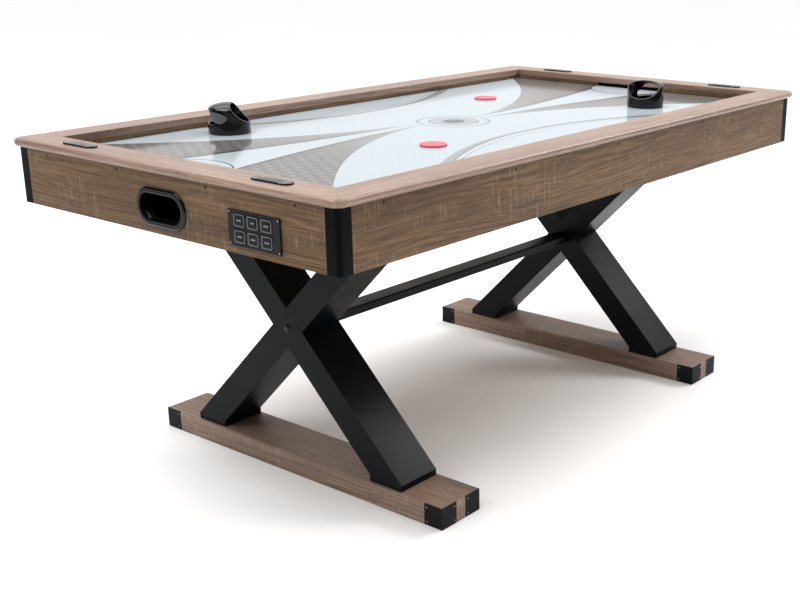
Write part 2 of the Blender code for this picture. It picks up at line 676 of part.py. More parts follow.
def build_legs():
    """Two crossed frames: the beam that stands in front keeps its outer half at the crossing."""
    bore = arc((0, CROSS_Z), BOLT_RADIUS + GAP, 0, 360, 20)[:-1]
    for side, sx in SIDES.items():
        inner, outer = LEG_X - LEG_DEPTH / 2, LEG_X + LEG_DEPTH / 2
        for face, sy in FACES.items():
            xs = sorted((sx * inner, sx * outer))
            name = f"leg_{side}_{face}"
            leg = add_object(name, prism_mesh(leg_outline(sy), "x", *xs), "black_paint")
            if face == "front":
                lap = sorted((sx * (inner - CUT_MARGIN), sx * (LEG_X + GAP / 2)))
            else:
                lap = sorted((sx * (LEG_X - GAP / 2), sx * (outer + CUT_MARGIN)))
            cut(leg, prism_mesh(crossing_outline(-sy), "x", *lap), f"cut_lap_{side}_{face}")
            cut(leg, prism_mesh(bore, "x", xs[0] - CUT_MARGIN, xs[1] + CUT_MARGIN), f"cut_bolt_{side}_{face}")


def build_stretcher():
    """The bar between the two crossings, with a bolt hole in each end."""
    half_x = LEG_X - LEG_DEPTH / 2 - GAP
    height = STRETCHER_TOP - STRETCHER_BOTTOM
    middle = (0, (STRETCHER_TOP + STRETCHER_BOTTOM) / 2)
    outline = rounded_rectangle(middle, STRETCHER_WIDTH, height, STRETCHER_RADIUS, 4)
    bar = add_object("stretcher", prism_mesh(outline, "x", -half_x, half_x), "black_paint")
    bore = arc((0, CROSS_Z), BOLT_RADIUS + GAP, 0, 360, 20)[:-1]
    for side, sign in SIDES.items():
        xs = sorted((sign * (half_x - BOLT_GRIP - BOLT_END_ROOM), sign * (half_x + CUT_MARGIN)))
        cut(bar, prism_mesh(bore, "x", *xs), f"cut_end_{side}")


def build_bolts():
    """One bolt through each crossing into the stretcher, with a domed head outside."""
    head_x = LEG_X + LEG_DEPTH / 2 + GAP
    tip_x = LEG_X - LEG_DEPTH / 2 - GAP - BOLT_GRIP
    length = head_x - tip_x
    dome = [(BOLT_HEAD_RADIUS * math.cos(math.radians(a)),
             length + BOLT_HEAD_HEIGHT * math.sin(math.radians(a))) for a in (0, 30, 60)]
    profile = [(0, 0), (BOLT_RADIUS, 0), (BOLT_RADIUS, length)] + dome + [(0, length + BOLT_HEAD_HEIGHT)]
    for side, sign in SIDES.items():
        bm = revolve_mesh(profile, 20)
        turn = Matrix.Rotation(sign * math.pi / 2, 4, "Y")
        bmesh.ops.transform(bm, matrix=turn, verts=bm.verts)
        add_object(f"cross_bolt_{side}", bm, "steel", (sign * tip_x, 0, CROSS_Z))


def build_feet():
    """Two floor beams, rebated at their corners for the black corner plates."""
    half_w = FOOT_WIDTH / 2
    half_l = FOOT_LENGTH / 2
    low, high = CAP_INSET, FOOT_HEIGHT - CAP_INSET
    seat = CAP_THICKNESS + GAP
    for side, sx in SIDES.items():
        centre = sx * FOOT_X
        outline = []
        for ax, ay in ((1, 1), (-1, 1), (-1, -1), (1, -1)):
            corner = [(half_w, half_l - CAP_LONG - GAP), (half_w - seat, half_l - CAP_LONG - GAP),
                      (half_w - seat, half_l - seat), (half_w - CAP_END - GAP, half_l - seat),
                      (half_w - CAP_END - GAP, half_l)]
            corner = [(centre + ax * x, ay * y) for x, y in corner]
            outline += corner if ax * ay > 0 else list(reversed(corner))
        add_object(f"foot_beam_{side}", prism_mesh(outline, "z", 0.0, FOOT_HEIGHT), "oak")
        for end, ax in (("outer", sx), ("inner", -sx)):
            for face, ay in FACES.items():
                plate = [(half_w, half_l), (half_w, half_l - CAP_LONG),
                         (half_w - CAP_THICKNESS, half_l - CAP_LONG),
                         (half_w - CAP_THICKNESS, half_l - CAP_THICKNESS),
                         (half_w - CAP_END, half_l - CAP_THICKNESS), (half_w - CAP_END, half_l)]
                plate = [(centre + ax * x, ay * y) for x, y in plate]
                add_object(f"foot_plate_{side}_{face}_{end}", prism_mesh(plate, "z", low, high),
                           "black_plastic")


# ---------------------------------------------------------------- loose play pieces
def pusher_profile(inset):
    """Turned outline of the pusher: straight side and a low dome, drawn in by a wall inset."""
    radius = PUSHER_RADIUS - inset
    low = 0.0 if inset == 0 else PUSHER_FLOOR
    shoulder = PUSHER_SIDE_HEIGHT
    rise = PUSHER_HEIGHT - inset - shoulder
    dome = []
    for k in range(9):
        a = math.radians(90 * k / 8)
        dome.append((radius * math.cos(a), shoulder + rise * math.sin(a)))
    dome[-1] = (0, PUSHER_HEIGHT - inset)
    return [(0, low), (radius, low)] + dome


def build_pusher(side, x, y, degrees):
    """A hooded pusher: a domed cup, open on a slant in front and above its base behind, with finger grips."""
    base = FIELD_TOP + 2 * GAP + FELT_THICKNESS
    place = (x, y, base)
    turn = math.radians(degrees)
    shell = add_object(f"pusher_{side}", revolve_mesh(pusher_profile(0.0), 48), "gloss_black", place, turn)
    reach = PUSHER_RADIUS + CUT_MARGIN
    grip_name = f"cut_grip_{side}"
    cut(shell, prism_mesh(smooth_curve(PUSHER_GRIP, CURVE_STEPS), "y", -reach, reach), grip_name)
    grip_cutter = bpy.data.objects[grip_name]
    core = [(0, -CUT_MARGIN), (PUSHER_GRIP_RADIUS, -CUT_MARGIN),
            (PUSHER_GRIP_RADIUS, PUSHER_HEIGHT + CUT_MARGIN), (0, PUSHER_HEIGHT + CUT_MARGIN)]
    cut(grip_cutter, revolve_mesh(core, 48), f"keep_core_{side}")
    cut(shell, revolve_mesh(pusher_profile(PUSHER_WALL), 48), f"cut_cup_{side}")
    slant = smooth_curve(PUSHER_FRONT, CURVE_STEPS)
    slant += [(reach + 2 * CUT_MARGIN, slant[-1][1]), (reach + 2 * CUT_MARGIN, slant[0][1])]
    cut(shell, prism_mesh(slant, "y", -reach, reach), f"cut_front_{side}")
    cut(shell, prism_mesh(smooth_curve(PUSHER_BACK, CURVE_STEPS), "y", -reach, reach), f"cut_back_{side}")
    felt = [(0, 0), (FELT_RADIUS, 0), (FELT_RADIUS, FELT_THICKNESS), (0, FELT_THICKNESS)]
    add_object(f"pusher_felt_{side}", revolve_mesh(felt, 48), "felt", (x, y, FIELD_TOP + GAP), turn)


def build_puck(side, x, y):
    """A flat disc with small chamfers."""
    chamfer = PUCK_CHAMFER
    profile = [(0, 0), (PUCK_RADIUS - chamfer, 0), (PUCK_RADIUS, chamfer),
               (PUCK_RADIUS, PUCK_HEIGHT - chamfer), (PUCK_RADIUS - chamfer, PUCK_HEIGHT), (0, PUCK_HEIGHT)]
    add_object(f"puck_{side}", revolve_mesh(profile, 48), "puck_red", (x, y, FIELD_TOP + GAP))


def main():
    """Build the whole table."""
    clear_scene()
    build_aprons()
    build_posts()
    build_rails()
    build_walls()
    build_playfield()
    build_air_tray()
    build_blower()
    build_puck_returns()
    build_controls()
    build_displays()
    build_power_inlet()
    build_legs()
    build_stretcher()
    build_bolts()
    build_feet()
    for side, place in PUSHERS.items():
        build_pusher(side, *place)
    for side, place in PUCKS.items():
        build_puck(side, *place)


main()
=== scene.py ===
"""Looks of the air hockey table: each visible piece and its finish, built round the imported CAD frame.

Row frame: metres, +Z up, +X along the table. "left" is -X, the control panel's end, and "front" is -Y.
"""

import logging
import math
from dataclasses import dataclass, field
from enum import Enum
from typing import Callable, Sequence

import bmesh
import bpy
import numpy as np
from mathutils import Euler, Matrix, Vector


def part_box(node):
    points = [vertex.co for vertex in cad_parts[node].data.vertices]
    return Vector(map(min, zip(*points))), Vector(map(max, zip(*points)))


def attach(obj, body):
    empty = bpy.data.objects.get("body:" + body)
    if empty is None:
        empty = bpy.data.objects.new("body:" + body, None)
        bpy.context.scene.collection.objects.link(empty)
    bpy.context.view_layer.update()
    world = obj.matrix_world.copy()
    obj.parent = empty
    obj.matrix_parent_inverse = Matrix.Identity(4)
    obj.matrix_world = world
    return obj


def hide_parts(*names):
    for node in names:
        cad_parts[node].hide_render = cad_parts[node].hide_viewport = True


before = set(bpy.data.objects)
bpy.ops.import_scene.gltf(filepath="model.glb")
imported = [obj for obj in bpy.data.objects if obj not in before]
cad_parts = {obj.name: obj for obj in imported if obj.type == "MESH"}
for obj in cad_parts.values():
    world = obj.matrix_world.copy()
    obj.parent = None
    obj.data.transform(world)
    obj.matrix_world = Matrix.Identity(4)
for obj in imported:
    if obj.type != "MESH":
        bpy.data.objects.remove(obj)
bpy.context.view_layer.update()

LOG = logging.getLogger("table")
Array = np.ndarray
Socket = bpy.types.NodeSocket
Object = bpy.types.Object
Mesh = bpy.types.Mesh
Material = bpy.types.Material

ROOT = "table"
SIDES = {"left": -1, "right": 1}
FACES = {"front": -1, "back": 1}
HAIR = 0.0003                 # the CAD's gap between pieces that touch
WELD = 1e-6


class Axis(Enum):
    """The direction a prism is drawn along, or a board's grain runs in."""

    X = 0
    Y = 1
    Z = 2


def ink(red: float, green: float, blue: float) -> tuple[float, float, float, float]:
    """Turn a display colour, 0 to 255, into a scene-linear one with an alpha of one."""
    values = [v / 255 for v in (red, green, blue)]
    return (*(v / 12.92 if v <= 0.04045 else ((v + 0.055) / 1.055) ** 2.4 for v in values), 1.0)


# ---- shader writing
class Wire:
    """A node's output that takes arithmetic: each operation adds a Math node."""

    def __init__(self, graph: "Graph", socket: Socket) -> None:
        """Keep the output and the graph it belongs to."""
        self.graph = graph
        self.socket = socket

    def __add__(self, other: object) -> "Wire":
        """The sum of two values."""
        return self.graph.math("ADD", self, other)

    def __sub__(self, other: object) -> "Wire":
        """The difference of two values."""
        return self.graph.math("SUBTRACT", self, other)

    def __mul__(self, other: object) -> "Wire":
        """The product of two values."""
        return self.graph.math("MULTIPLY", self, other)

    def __abs__(self) -> "Wire":
        """The value without its sign."""
        return self.graph.math("ABSOLUTE", self)


class Graph:
    """Writes the nodes of one material, world or node group."""

    def __init__(self, tree: bpy.types.NodeTree) -> None:
        """Keep the tree to write in."""
        self.tree = tree

    def feed(self, socket: Socket, value: object) -> None:
        """Link another node's output to a socket, or set its constant."""
        if isinstance(value, Wire):
            self.tree.links.new(value.socket, socket)
        else:
            socket.default_value = value

    def add(self, kind: str, inputs: dict | None = None, **settings: object) -> bpy.types.Node:
        """Add a node.

        Args:
            kind: The node's type name.
            inputs: Wires to link or constants to set, by socket name or number.
            **settings: The node's own properties.

        Returns:
            The new node.
        """
        node = self.tree.nodes.new(kind)
        for name, value in settings.items():
            setattr(node, name, value)
        for key, value in (inputs or {}).items():
            self.feed(node.inputs[key], value)
        return node

    def wire(self, kind: str, inputs: dict | None = None, out: int | str = 0, **settings: object) -> Wire:
        """Add a node and take one of its outputs."""
        return Wire(self, self.add(kind, inputs, **settings).outputs[out])

    def math(self, operation: str, *values: object) -> Wire:
        """One Math node's result."""
        return self.wire("ShaderNodeMath", dict(enumerate(values)), operation=operation)

    def length(self, u: Wire, v: Wire) -> Wire:
        """The root of the sum of two squares."""
        return self.math("SQRT", u * u + v * v)

    def step(self, value: Wire, low: object, high: object, start: float = 0.0, end: float = 1.0) -> Wire:
        """A smooth step of a value from start at low to end at high."""
        inputs = {0: value, 1: low, 2: high, 3: start, 4: end}
        return self.wire("ShaderNodeMapRange", inputs, interpolation_type="SMOOTHSTEP")

    def within(self, value: Wire, low: object, high: object) -> Wire:
        """One up to low, falling smoothly to zero at high."""
        return self.step(value, low, high, 1.0, 0.0)

    def blend(self, factor: Wire, first: object, second: object) -> Wire:
        """Mix two colours."""
        return self.wire("ShaderNodeMix", {0: factor, 6: first, 7: second}, 2, data_type="RGBA")

    def vector(self, operation: str, inputs: dict, out: int = 0) -> Wire:
        """One Vector Math node's result."""
        return self.wire("ShaderNodeVectorMath", inputs, out, operation=operation)

    def noise(self, vector: Wire, along: float, across: float, detail: float = 2.0,
              roughness: float = 0.5) -> Wire:
        """Noise with one scale along X and another across it."""
        scaled = self.wire("ShaderNodeMapping", {"Vector": vector, "Scale": (along, across, across)})
        inputs = {"Vector": scaled, "Scale": 1.0, "Detail": detail, "Roughness": roughness}
        return self.wire("ShaderNodeTexNoise", inputs)

    def split(self, vector: Wire) -> tuple[Wire, ...]:
        """The three parts of a vector."""
        node = self.add("ShaderNodeSeparateXYZ", {0: vector})
        return tuple(Wire(self, part) for part in node.outputs)

    def ramp(self, value: Wire, *stops: tuple[float, tuple]) -> Wire:
        """A colour ramp through positions and their colours."""
        node = self.add("ShaderNodeValToRGB", {0: value})
        elements = node.color_ramp.elements
        while len(elements) < len(stops):
            elements.new(0.5)
        for element, (position, colour) in zip(elements, stops):
            element.position, element.color = position, colour
        return Wire(self, node.outputs[0])

    def place(self) -> Wire:
        """Object coordinates: the row frame in metres, as every piece sits at the origin."""
        return self.wire("ShaderNodeTexCoord", out="Object")

    def group(self, effect: "Effect", **inputs: object) -> dict[str, Wire]:
        """Place a shared node group, and give its outputs by name."""
        node = self.add("ShaderNodeGroup", node_tree=effect.tree())
        for key, value in inputs.items():
            self.feed(node.inputs[key], value)
        return {output.name: Wire(self, output) for output in node.outputs}


@dataclass(frozen=True)
class Effect:
    """A shader node group that several finishes share; it puts out plain values."""

    name: str
    inputs: dict[str, object]
    outputs: tuple[str, ...]
    write: Callable[[Graph, dict[str, Wire]], tuple[Wire, ...]]

    def tree(self) -> bpy.types.NodeTree:
        """Build the group once, then hand out the same one.

        Returns:
            The node group.
        """
        made = bpy.data.node_groups.get(self.name)
        if made:
            return made
        tree = bpy.data.node_groups.new(self.name, "ShaderNodeTree")
        for label, value in self.inputs.items():
            kind = "NodeSocketVector" if value is None else "NodeSocketFloat"
            socket = tree.interface.new_socket(label, in_out="INPUT", socket_type=kind)
            if value is not None:
                socket.default_value = value
        for label in self.outputs:
            tree.interface.new_socket(label, in_out="OUTPUT", socket_type="NodeSocketFloat")
        graph = Graph(tree)
        entry = graph.add("NodeGroupInput")
        results = self.write(graph, {label: Wire(graph, entry.outputs[label]) for label in self.inputs})
        graph.add("NodeGroupOutput", dict(zip(self.outputs, results)))
        return tree


def write_grain(g: Graph, given: dict[str, Wire]) -> tuple[Wire, ...]:
    """Saw-cut oak, its grain along the vector's X.

    Growth rings are a sine across the grain whose phase wanders with stretched noise; fibres and pores are
    noise drawn out along the grain; saw marks are noise drawn out across it, kept to patches.
    """
    seed = given["Seed"]
    offset = g.wire("ShaderNodeCombineXYZ", {0: seed, 1: seed * 0.37, 2: seed * 0.71})
    v = g.vector("ADD", {0: given["Vector"], 1: offset})
    _, deep, high = g.split(v)
    wander, wobble = g.noise(v, 1.1, 9.0, 3.0, 0.45), g.noise(v, 9.0, 70.0)
    phase = (deep + high) * 640.0 + wander * 95.0 + wobble * 6.0
    rings = g.math("POWER", g.math("SINE", phase) * 0.5 + 0.5, 1.8)
    shown = g.step(g.noise(v, 1.6, 11.0), 0.40, 0.62)
    rings = rings * (shown * 0.8 + 0.2)
    fibre = g.noise(v, 11.0, 480.0, 5.0, 0.7)
    streak, broad = g.noise(v, 3.0, 130.0, 3.0, 0.55), g.noise(v, 2.2, 16.0)
    pores = g.step(g.noise(v, 45.0, 1100.0, 1.0), 0.56, 0.68)
    lines = g.step(g.noise(v, 380.0, 9.0, 2.0, 0.6), 0.50, 0.66)
    patches = g.step(g.noise(v, 5.0, 13.0), 0.44, 0.60)
    breaks = g.step(g.noise(v, 80.0, 75.0, 1.0), 0.34, 0.56)
    saw = lines * patches * breaks
    tone = rings * given["Figure"] + fibre * 0.95 + streak * 0.55 + broad * 0.35
    return (tone - 0.95) * 0.62 + 0.5, pores, saw, saw * 0.6 + (fibre - pores)


def write_skin(g: Graph, given: dict[str, Wire]) -> tuple[Wire, ...]:
    """Paint or moulded plastic: a slow cloud, fine orange peel and faint rubbed streaks."""
    v = g.vector("SCALE", {0: given["Vector"], "Scale": given["Scale"]})
    drawn = g.wire("ShaderNodeMapping", {"Vector": v, "Scale": (26.0, 210.0, 26.0)})
    rub = g.step(g.noise(drawn, 1.0, 1.0, 3.0, 0.6), 0.58, 0.78)
    return g.noise(v, 6.0, 6.0, 3.0), g.noise(v, 520.0, 520.0), rub


GRAIN = Effect("oak grain", {"Vector": None, "Seed": 0.0, "Figure": 0.4},
               ("Tone", "Pores", "Saw", "Height"), write_grain)
SKIN = Effect("painted skin", {"Vector": None, "Scale": 1.0}, ("Cloud", "Peel", "Rub"), write_skin)


# ---- finishes
@dataclass(frozen=True)
class Finish:
    """A procedural material that is made once per name."""

    name: str

    def material(self) -> Material:
        """The Blender material, built at its first use.

        Returns:
            The material.
        """
        made = bpy.data.materials.get(self.name)
        if made:
            return made
        made = bpy.data.materials.new(self.name)
        made.use_nodes = True
        made.node_tree.nodes.clear()
        graph = Graph(made.node_tree)
        shader = graph.add("ShaderNodeBsdfPrincipled")
        for socket, value in self.dress(graph).items():
            graph.feed(shader.inputs[socket], value)
        graph.add("ShaderNodeOutputMaterial", {0: Wire(graph, shader.outputs[0])})
        return made

    def dress(self, g: Graph) -> dict[str, object]:
        """Write the finish's own nodes.

        Args:
            g: The material's graph.

        Returns:
            What to feed the shader's sockets, by their names.
        """
        raise NotImplementedError


def relief(g: Graph, height: Wire, strength: float, distance: float) -> Wire:
    """A height turned into a normal by a Bump node."""
    return g.wire("ShaderNodeBump", {"Strength": strength, "Distance": distance, "Height": height})


@dataclass(frozen=True)
class Timber(Finish):
    """Saw-cut oak laminate."""

    axis: Axis = Axis.X
    seed: float = 0.0
    dark: tuple = ink(62, 46, 33)
    middle: tuple = ink(94, 71, 49)
    light: tuple = ink(121, 95, 69)
    chalk: tuple = ink(148, 123, 96)
    figure: float = 0.20
    saw: float = 0.55
    rough: tuple[float, float] = (0.42, 0.60)
    specular: float = 0.20

    def dress(self, g: Graph) -> dict[str, object]:
        """Colour by tone, darken the pores, chalk the saw marks and let the gloss follow the grain."""
        x, y, z = g.split(g.place())
        order = {Axis.X: (x, y, z), Axis.Y: (y, x, z), Axis.Z: (z, x, y)}[self.axis]
        vector = g.wire("ShaderNodeCombineXYZ", dict(enumerate(order)))
        grain = g.group(GRAIN, Vector=vector, Seed=self.seed, Figure=self.figure)
        colour = g.ramp(grain["Tone"], (0.36, self.dark), (0.5, self.middle), (0.64, self.light))
        colour = g.blend(grain["Pores"] * 0.45, colour, self.dark)
        return {"Base Color": g.blend(grain["Saw"] * self.saw, colour, self.chalk),
                "Roughness": g.step(grain["Tone"], 0.2, 0.8, *self.rough),
                "Specular IOR Level": self.specular,
                "Normal": relief(g, grain["Height"], 0.25, 0.0002)}


@dataclass(frozen=True)
class Coated(Finish):
    """Paint or moulded plastic with an orange-peel skin."""

    colour: tuple = ink(20, 24, 27)
    worn: tuple = ink(40, 46, 50)
    rough: tuple[float, float] = (0.36, 0.50)
    specular: float = 0.25
    scale: float = 1.0
    metallic: float = 0.0

    def dress(self, g: Graph) -> dict[str, object]:
        """Cloud the colour and the gloss, and roughen the surface with the peel."""
        skin = g.group(SKIN, Vector=g.place(), Scale=self.scale)
        share = skin["Rub"] * 0.12 + skin["Cloud"] * 0.25
        return {"Base Color": g.blend(share, self.colour, self.worn),
                "Roughness": g.step(skin["Cloud"], 0.3, 0.7, *self.rough),
                "Specular IOR Level": self.specular,
                "Metallic": self.metallic,
                "Normal": relief(g, skin["Peel"], 0.12, 0.00006)}


@dataclass(frozen=True)
class GripPlastic(Finish):
    """The pushers' gloss plastic, with a satin grey patch painted in each finger grip as its reflection of
    bright light.
    """

    centre: tuple[float, float] = (0.0, 0.0)
    base: float = 0.0
    turn: float = 0.0
    shell: tuple = ink(5, 6, 8)
    rubbed: tuple = ink(28, 31, 34)
    # The panel colour is painted reflection: the grey the grip floor shows under bright light.
    panel: tuple = ink(94, 98, 102)
    middle: tuple[float, float] = (-0.0230, 0.0350)
    half: tuple[float, float] = (0.0265, 0.0125)
    slope: float = -0.16

    def dress(self, g: Graph) -> dict[str, object]:
        """The panel, a painted reflection, is a leaning oval on the grip's round floor, found in the
        pusher's own frame.
        """
        where = g.vector("SUBTRACT", {0: g.place(), 1: (*self.centre, self.base)})
        local = g.wire("ShaderNodeVectorRotate", {"Vector": where, "Angle": -self.turn},
                       rotation_type="Z_AXIS")
        x, y, z = g.split(local)
        radius = g.length(x, y)
        along = (x - self.middle[0]) * (1 / self.half[0])
        level = (z - (x * self.slope + self.middle[1])) * (1 / self.half[1])
        oval = g.within(along * along + level * level, 0.96, 1.04)
        # inside masks the painted grip reflection.
        inside = g.step(radius, 0.0470, 0.0474) * g.within(radius, 0.0486, 0.0489) * oval
        skin = g.group(SKIN, Vector=g.place(), Scale=3.0)
        black = g.blend(skin["Rub"] * 0.2, self.shell, self.rubbed)
        return {"Base Color": g.blend(inside, black, self.panel),
                "Roughness": inside * 0.3 + g.step(skin["Cloud"], 0.3, 0.7, 0.06, 0.13),
                "Specular IOR Level": 0.45,
                "Normal": relief(g, skin["Peel"], 0.04, 0.00004)}


@dataclass(frozen=True)
class PrintedField(Finish):
    """The playing field's print: centre rings, dotted wedges, white lobes, swooshes and goal creases."""

    white: tuple = ink(160, 170, 176)
    wedge: tuple = ink(92, 89, 86)
    pale: tuple = ink(126, 129, 129)
    line: tuple = ink(26, 21, 19)
    dots: tuple = ink(124, 126, 124)
    core: tuple = ink(54, 58, 63)
    soft: float = 0.0006
    inner: tuple[float, float] = (0.010, 0.148)
    outer: tuple[float, float] = (0.006, 0.655)
    thick: tuple[float, float] = (0.258, 0.700)
    thin: tuple[float, float] = (0.280, 0.640)
    pitch: tuple[float, float] = (0.0320, 0.0270)
    hub: tuple[float, float] = (0.008, 0.010)
    goal_x: float = 0.8345
    crease: float = 0.120

    def ribbon(self, g: Graph, distance: Wire, half: object) -> Wire:
        """One within half of zero distance, else zero."""
        return g.within(abs(distance) - half, -self.soft, self.soft)

    def pattern(self, g: Graph, along: Wire, across: Wire) -> Wire:
        """Hexagons in staggered rows: each is the larger of a height and a slanted sum in its own cell."""
        wide, tall = self.pitch
        row = across * (1 / tall)
        odd = g.math("MODULO", g.math("FLOOR", row), 2.0) * 0.5
        u = abs((g.math("FRACT", along * (1 / wide) + odd) - 0.5) * wide)
        w = abs((g.math("FRACT", row) - 0.5) * tall)
        hexagon = g.math("MAXIMUM", w, u * 0.866 + w * 0.5)
        return g.within(hexagon, 0.0066, 0.0076) * g.step(along, 0.36, 0.60)

    def rings(self, g: Graph, colour: Wire, x: Wire, y: Wire) -> Wire:
        """Print the hub's rings over a colour."""
        radius = g.length(y - self.hub[1], x - self.hub[0])
        colour = g.blend(g.within(radius, 0.0950, 0.0962), colour, self.white)
        for edge, half in ((0.0925, 0.0020), (0.0850, 0.0009)):
            colour = g.blend(self.ribbon(g, radius - edge, half), colour, ink(96, 100, 104))
        colour = g.blend(g.within(radius, 0.0635, 0.0645), colour, ink(136, 142, 147))
        colour = g.blend(self.ribbon(g, radius - 0.0640, 0.0012), colour, self.core)
        return g.blend(g.within(radius, 0.024, 0.034), colour, self.core)

    def dress(self, g: Graph) -> dict[str, object]:
        """Each shape is a band between curves |y| = a + b x squared, or a ring round a point."""
        x, y, _ = g.split(g.place())
        level = y - g.step(x, -0.10, 0.15, 0.045, 0.0)
        along, square = abs(x), x * x

        def beyond(across: Wire, curve: tuple[float, float]) -> Wire:
            """How far a point is outside the curve |y| = start + bend x squared."""
            return across - (square * curve[1] + curve[0])

        inner, outer = beyond(abs(level), self.inner), beyond(abs(level), self.outer)
        wedge = g.step(inner, -self.soft, self.soft) * g.within(outer, -self.soft, self.soft)
        grey = g.blend(g.step(along, 0.16, 0.62), self.pale, self.wedge)
        grey = g.blend(self.pattern(g, along, abs(level)) * 0.62, grey, self.dots)
        shade = g.within(inner, 0.0, 0.045) * g.step(along, 0.10, 0.5)
        colour = g.blend(wedge, self.white, g.blend(shade * 0.35, grey, self.core))
        edge = self.ribbon(g, inner, along * 0.0050 + 0.0008) * g.step(along, 0.13, 0.30)
        colour = g.blend(edge, colour, self.line)

        centred = abs(y - 0.035)
        swoosh, wide = beyond(centred, self.thick), along * 0.022 + 0.0035
        end = g.within(along, 0.44, 0.52)
        for distance, half, tint in ((swoosh + wide, wide, self.pale), (swoosh, 0.0022, ink(84, 82, 80)),
                                     (beyond(centred, self.thin), 0.0014, ink(104, 106, 108))):
            colour = g.blend(self.ribbon(g, distance, half) * end, colour, tint)
        colour = self.rings(g, colour, x, y)

        crease = g.length(along - self.goal_x, level)
        colour = g.blend(g.within(crease, self.crease - 0.0015, self.crease - 0.0005), colour, self.white)
        colour = g.blend(self.ribbon(g, crease - self.crease, 0.0022), colour, self.line)
        skin = g.group(SKIN, Vector=g.place(), Scale=0.6)
        return {"Base Color": g.blend(skin["Rub"] * 0.05, colour, ink(200, 204, 206)),
                "Roughness": g.step(skin["Cloud"], 0.3, 0.7, 0.10, 0.17),
                "Specular IOR Level": 0.22,
                "Normal": relief(g, skin["Cloud"], 0.05, 0.0004)}


@dataclass(frozen=True)
class Felt(Finish):
    """Short dark felt."""

    def dress(self, g: Graph) -> dict[str, object]:
        """Mottle the fibres and give them a sheen."""
        fuzz = g.noise(g.place(), 900.0, 900.0, 4.0, 0.7)
        return {"Base Color": g.ramp(fuzz, (0.3, ink(26, 27, 30)), (0.7, ink(66, 68, 72))),
                "Roughness": 0.95, "Sheen Weight": 0.4, "Normal": relief(g, fuzz, 0.8, 0.0004)}


@dataclass(frozen=True)
class Fibreboard(Finish):
    """Raw board: chips and dust on a flat brown."""

    def dress(self, g: Graph) -> dict[str, object]:
        """Scatter pale and dark fibres."""
        drawn = g.wire("ShaderNodeMapping", {"Vector": g.place(), "Scale": (260.0, 420.0, 260.0)})
        chips = g.noise(drawn, 1.0, 1.0, 5.0, 0.7)
        colour = g.ramp(chips, (0.3, ink(104, 78, 54)), (0.5, ink(150, 118, 86)),
                        (0.72, ink(182, 152, 118)))
        cloud = g.noise(g.place(), 9.0, 9.0)
        return {"Base Color": g.blend(cloud * 0.25, colour, ink(118, 92, 66)),
                "Roughness": 0.85, "Normal": relief(g, chips, 0.4, 0.0003)}


@dataclass(frozen=True)
class CircuitBoard(Finish):
    """Green solder mask with copper runs."""

    def dress(self, g: Graph) -> dict[str, object]:
        """Copper shows as thin straight runs in two directions."""
        _, y, z = g.split(g.place())
        runs = [g.within(abs(g.math("SINE", part * pitch)), 0.0, 0.28)
                for part, pitch in ((y, 900.0), (z, 1200.0))]
        copper = g.blend(g.step(g.noise(g.place(), 80.0, 80.0, 1.0), 0.45, 0.5), *runs)
        return {"Base Color": g.blend(copper, ink(24, 84, 46), ink(52, 120, 66)), "Roughness": 0.35}


# ---- surface building
def stadium(centre: tuple[float, float], length: float, height: float, count: int = 24) -> Array:
    """Outline of a slot with round ends: two half circles joined by straight sides.

    Args:
        centre: Middle (u, v).
        length: Overall length along u.
        height: Overall height along v.
        count: Steps in each half circle.

    Returns:
        Points, one row each.
    """
    radius = height / 2
    reach = length / 2 - radius
    return np.concatenate([quarter((centre[0] + sign * reach, centre[1]), sign * radius, -90, 90, count)
                           for sign in (1, -1)])


def rounded_box(centre: Sequence[float], width: float, height: float, radius: float, count: int) -> Array:
    """Outline of a rectangle whose corners are quarter circles.

    Args:
        centre: Middle (u, v).
        width: Size along u.
        height: Size along v.
        radius: Corner radius.
        count: Steps in each corner.

    Returns:
        Points, one row each, counter-clockwise.
    """
    reach = (width / 2 - radius, height / 2 - radius)
    signs = ((1, 1), (-1, 1), (-1, -1), (1, -1))
    return np.concatenate([quarter((centre[0] + u * reach[0], centre[1] + v * reach[1]), radius, start,
                                   start + 90, count) for start, (u, v) in zip((0, 90, 180, 270), signs)])


def inset(outline: Array, distance: float) -> Array:
    """Draw an outline in: each corner moves along its two edge normals' sum over one plus their cosine.

    Args:
        outline: Counter-clockwise points.
        distance: How far its edges move inward.

    Returns:
        The smaller outline.
    """
    edges = np.roll(outline, -1, axis=0) - outline
    edges = edges / np.linalg.norm(edges, axis=1, keepdims=True)
    ahead = np.stack([-edges[:, 1], edges[:, 0]], 1)
    behind = np.roll(ahead, 1, axis=0)
    spread = 1 + np.sum(ahead * behind, axis=1, keepdims=True)
    return outline + distance * (ahead + behind) / spread


def counter_clockwise(outline: Array) -> Array:
    """The outline with its area positive."""
    after = np.roll(outline, -1, axis=0)
    area = np.sum(outline[:, 0] * after[:, 1] - outline[:, 1] * after[:, 0])
    return outline if area > 0 else outline[::-1]


def on_axis(outline: Array, axis: Axis, height: float) -> Array:
    """Lay (u, v) points at a height along an axis: (y, z) across X, (x, z) across Y, (x, y) across Z."""
    level = np.full(len(outline), height)
    u, v = outline[:, 0], outline[:, 1]
    return np.stack({Axis.X: (level, u, v), Axis.Y: (u, level, v), Axis.Z: (u, v, level)}[axis], 1)


